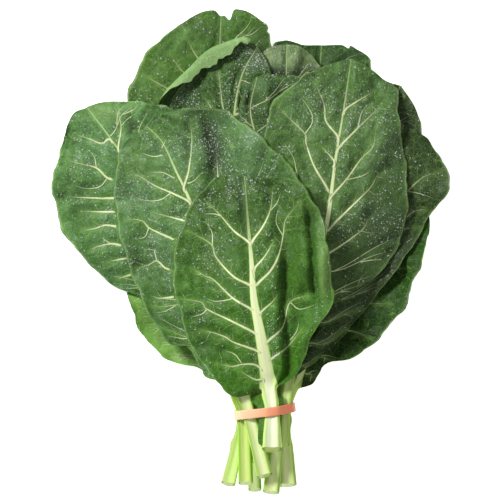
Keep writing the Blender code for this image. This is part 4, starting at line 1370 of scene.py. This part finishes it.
def band_finish():
    """Soft rubber, paler towards one side as painted light from the lamp's side, with a faint grain along it.
    """
    material, tree, shader = new_finish("rubber")
    where = place_of(tree)
    across = node(tree, "ShaderNodeSeparateXYZ", {"Vector": where}).outputs["X"]
    # Painted light: pale towards the lit side, the band's own orange towards the other
    colour = mixed(tree, ranged(tree, across, -0.012, 0.034), paint(244, 200, 158), paint(226, 128, 84))
    grain = noise(tree, place_of(tree, (1, 5, 5)), 260.0, 4.0)
    colour = patchy(tree, colour, grain, 0.35, 0.65, 0.4, (0.86, 0.8, 0.76, 1))
    feed(tree, shader, {"Base Color": colour, "Roughness": 0.55})
    add_relief(tree, shader, 0.12, (grain, 0.7), (noise(tree, where, 1500.0), 0.4))
    return material


def water_finish():
    material, tree, shader = new_finish("water")
    # The whitish body colour beside the clearness is painted highlight, so that the drops show as bright
    # specks
    clear = {"Base Color": (0.86, 0.95, 0.88, 1), "Roughness": 0.06, "IOR": 1.33, "Transmission Weight": 0.6}
    feed(tree, shader, {**clear, "Coat Weight": 1.0})
    add_relief(tree, shader, 0.05, (noise(tree, place_of(tree), 700.0, 1.0), 0.3))
    return material


def droplet_rule(material):
    """Geometry nodes that scatter flattened drops over a surface, in patches, where it is wet."""
    tree = bpy.data.node_groups.new("scattered_drops", "GeometryNodeTree")
    sockets = {"Surface": "Geometry", "Drops per square metre": "Float", "Smallest": "Float",
               "Largest": "Float", "Seed": "Int"}
    for title, kind in sockets.items():
        tree.interface.new_socket(title, in_out="INPUT", socket_type="NodeSocket" + kind)
    tree.interface.new_socket("Drops", in_out="OUTPUT", socket_type="NodeSocketGeometry")
    given = tree.nodes.new("NodeGroupInput").outputs
    where = tree.nodes.new("GeometryNodeInputPosition").outputs[0]
    patches = noise(tree, where, 28.0, 2.0)
    wet = node(tree, "GeometryNodeInputNamedAttribute", {"Name": "wet"}, data_type="FLOAT")
    crowd = scaled(tree, ranged(tree, patches, 0.42, 0.66, 0.2, 1.0), wet.outputs["Attribute"])
    crowd = scaled(tree, crowd, given["Drops per square metre"])
    points = node(tree, "GeometryNodeDistributePointsOnFaces",
                  {"Mesh": given["Surface"], "Seed": given["Seed"]}, distribute_method="RANDOM")
    tree.links.new(crowd, points.inputs["Density"])
    ball = node(tree, "GeometryNodeMeshUVSphere", {"Segments": 5, "Rings": 3, "Radius": 1.0}).outputs["Mesh"]
    chance = node(tree, "FunctionNodeRandomValue", {"Seed": given["Seed"]}, data_type="FLOAT")
    rare = worked_out(tree, chance.outputs["Value"], 6.0, "POWER")
    radius = node(tree, "ShaderNodeMapRange",
                  {"Value": rare, "To Min": given["Smallest"], "To Max": given["Largest"]})
    squat = node(tree, "ShaderNodeVectorMath", {0: (1.0, 1.0, 0.62), "Scale": radius.outputs["Result"]},
                 operation="SCALE")
    drops = node(tree, "GeometryNodeInstanceOnPoints",
                 {"Points": points.outputs["Points"], "Instance": ball,
                  "Rotation": points.outputs["Rotation"], "Scale": squat.outputs[0]})
    real = node(tree, "GeometryNodeRealizeInstances", {"Geometry": drops.outputs[0]})
    done = node(tree, "GeometryNodeSetMaterial", {"Geometry": real.outputs[0], "Material": material})
    tree.links.new(done.outputs[0], tree.nodes.new("NodeGroupOutput").inputs[0])
    return tree


def drops_on(shape, rule, pile, seed):
    """The drops that stand on one leaf, where no other leaf covers it."""
    here = np.abs(shape["columns"]) <= RIB_EDGE + 1
    first = FINE_STALK_ROWS.size
    top = shape["top"][first:, here]
    wetness = LOOKS[shape["leaf"]["name"]]["wet"]
    wet = (top[..., 2] > pile[cell_of(top)] - COVERED) * wetness * dewiness(shape)[first:, here]
    wet = wet * (shape["points"]["reach"][first:, here] > DROPS_FROM)
    faces = sheet_faces(*top.shape[:2])[1]
    sheet = new_piece(shape["leaf"]["name"] + "_drops", top.reshape(-1, 3), faces, [])
    add_values(sheet.data, "wet", wet)
    scatter = sheet.modifiers.new("drops", "NODES")
    scatter.node_group = rule
    sizes = {"Drops per square metre": 620000.0, "Smallest": 0.25 * MM, "Largest": 1.0 * MM, "Seed": seed}
    for item in rule.interface.items_tree:
        if item.name in sizes:
            scatter[item.identifier] = sizes[item.name]
    made = bpy.data.meshes.new_from_object(sheet.evaluated_get(bpy.context.evaluated_depsgraph_get()))
    sheet.modifiers.clear()
    sheet.data = made
    made.shade_smooth()
    return sheet


def rubber_band(middle, material):
    """A flat loop with rounded edges and slightly wandering sides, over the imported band."""
    across = np.array([np.cos(BAND_SLANT), np.sin(BAND_SLANT), 0])
    lengthwise = np.array([-np.sin(BAND_SLANT), np.cos(BAND_SLANT), 0])
    centre = np.array([*(np.array(BAND_MIDDLE) - middle), 0])
    corners = node_corners("rubber_band") - centre
    flat = np.stack([corners @ across, corners[:, 2]], -1)
    turns = np.linspace(0, 2 * np.pi, 44, endpoint=False)
    facing = np.stack([np.cos(turns), np.sin(turns)], -1)
    loop = flat[np.argmax(flat @ facing.T, axis=0)]
    loop = at(np.vstack([loop, loop[:1]]), np.linspace(0, 1, 280, endpoint=False))
    for _ in range(6):
        loop = (np.roll(loop, 1, 0) + 2 * loop + np.roll(loop, -1, 0)) / 4
    ahead = unit(np.roll(loop, -1, 0) - np.roll(loop, 1, 0))
    out = np.stack([ahead[:, 1], -ahead[:, 0]], -1)
    turn = np.linspace(0, 2 * np.pi, 20, endpoint=False)
    wide = np.sign(np.cos(turn)) * np.abs(np.cos(turn)) ** 0.45
    thick = np.sign(np.sin(turn)) * np.abs(np.sin(turn)) ** 0.55
    run = np.arange(len(loop)) / len(loop) * 2 * np.pi
    half = BAND_WIDTH / 2 + 0.12 * np.sin(9 * run) + 0.08 * np.sin(23 * run + 1)
    drift = 0.25 * np.sin(3 * run + 0.6)
    level = half[:, None] * wide + drift[:, None]
    depth = BAND_THICKNESS / 2 * (thick[None] - 1 + 0.06 * np.sin(17 * run)[:, None])
    flat = loop[:, None] + out[:, None] * depth[..., None]
    points = centre + flat[..., :1] * across + flat[..., 1:] * [0, 0, 1] + level[..., None] * lengthwise
    index = np.arange(points[..., 0].size).reshape(points.shape[:2])
    after = np.roll(index, -1, 1)
    faces = np.stack([index, after, np.roll(after, -1, 0), np.roll(index, -1, 0)], -1)
    return new_piece("rubber_band_fine", points.reshape(-1, 3), faces.reshape(-1, 4), [material])


def table_floor():
    size = 3.0
    vertices = np.array([(-size, -size, 0), (size, -size, 0), (size, size, 0), (-size, size, 0)]) / MM
    material, tree, shader = new_finish("pale_table")
    colour = mixed(tree, noise(tree, place_of(tree), 40.0), (0.93, 0.93, 0.93, 1), (0.96, 0.96, 0.96, 1))
    feed(tree, shader, {"Base Color": colour, "Roughness": 0.9, "Specular IOR Level": 0.1})
    feed(tree, shader, {"Emission Color": (1, 1, 1, 1), "Emission Strength": 0.75})
    floor = new_piece("table", vertices, [(0, 1, 2, 3)], [material])


def soft_light(name, place, size, strength):
    """A square lamp that points from its place at the middle of the table."""
    light = bpy.data.lights.new(name, "AREA")
    light.size = size
    light.energy = strength
    lamp = bpy.data.objects.new(name, light)
    lamp.location = place
    x, y, z = place
    lamp.rotation_euler = (-np.arctan2(y, z), np.arctan2(x, np.hypot(y, z)), 0.0)
    bpy.context.scene.collection.objects.link(lamp)


def studio(middle):
    world = bpy.data.worlds.new("studio")
    world.use_nodes = True
    world.node_tree.nodes["Background"].inputs["Color"].default_value = (1, 1, 1, 1)
    world.node_tree.nodes["Background"].inputs["Strength"].default_value = 0.4
    scene = bpy.context.scene
    scene.world = world
    scene.view_settings.view_transform = "Standard"
    soft_light("key", (-1.0, 0.9, 1.2), 0.45, 38.0)
    soft_light("fill", (1.1, -0.4, 1.6), 1.6, 4.0)
    camera = bpy.data.cameras.new("camera")
    camera.sensor_width = 36
    camera.lens = 36 * 4.0 / 0.44
    camera.clip_end = 20
    eye = bpy.data.objects.new("camera", camera)
    shift = (250 - PHOTO_MIDDLE) * PIXEL
    eye.location = ((shift - middle[0]) * MM, (-shift - middle[1]) * MM, 4.035)
    scene.collection.objects.link(eye)
    scene.camera = eye


def main():
    middle = plan_middle()
    studio(middle)
    table_floor()
    pile = np.zeros((int(2 * FIELD / CELL),) * 2)
    cut = cut_finish()
    drops = droplet_rule(water_finish())
    shapes = [fine_leaf(leaf, middle, pile, order) for order, leaf in enumerate(LEAVES)]
    for order, shape in enumerate(shapes):
        name = shape["leaf"]["name"]
        look = LOOKS[name]
        face = underside_finish if look.get("pale") else blade_finish
        above = face(name + "_above", look)
        below = underside_finish(name + "_below", look)
        piece = leaf_piece(shape, [above, below, cut])
        veins_above = vein_piece(shape, "top", [vein_finish(name + "_veins_above", look, False)])
        veins_below = vein_piece(shape, "bottom", [vein_finish(name + "_veins_below", look, True)])
        for part in (piece, veins_above, veins_below):
            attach(part, "root")
        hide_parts(name)
        if look["wet"]:
            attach(drops_on(shape, drops, pile, order), "root")
    band = rubber_band(middle, band_finish())
    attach(band, "root")
    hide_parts("rubber_band")
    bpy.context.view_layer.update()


main()
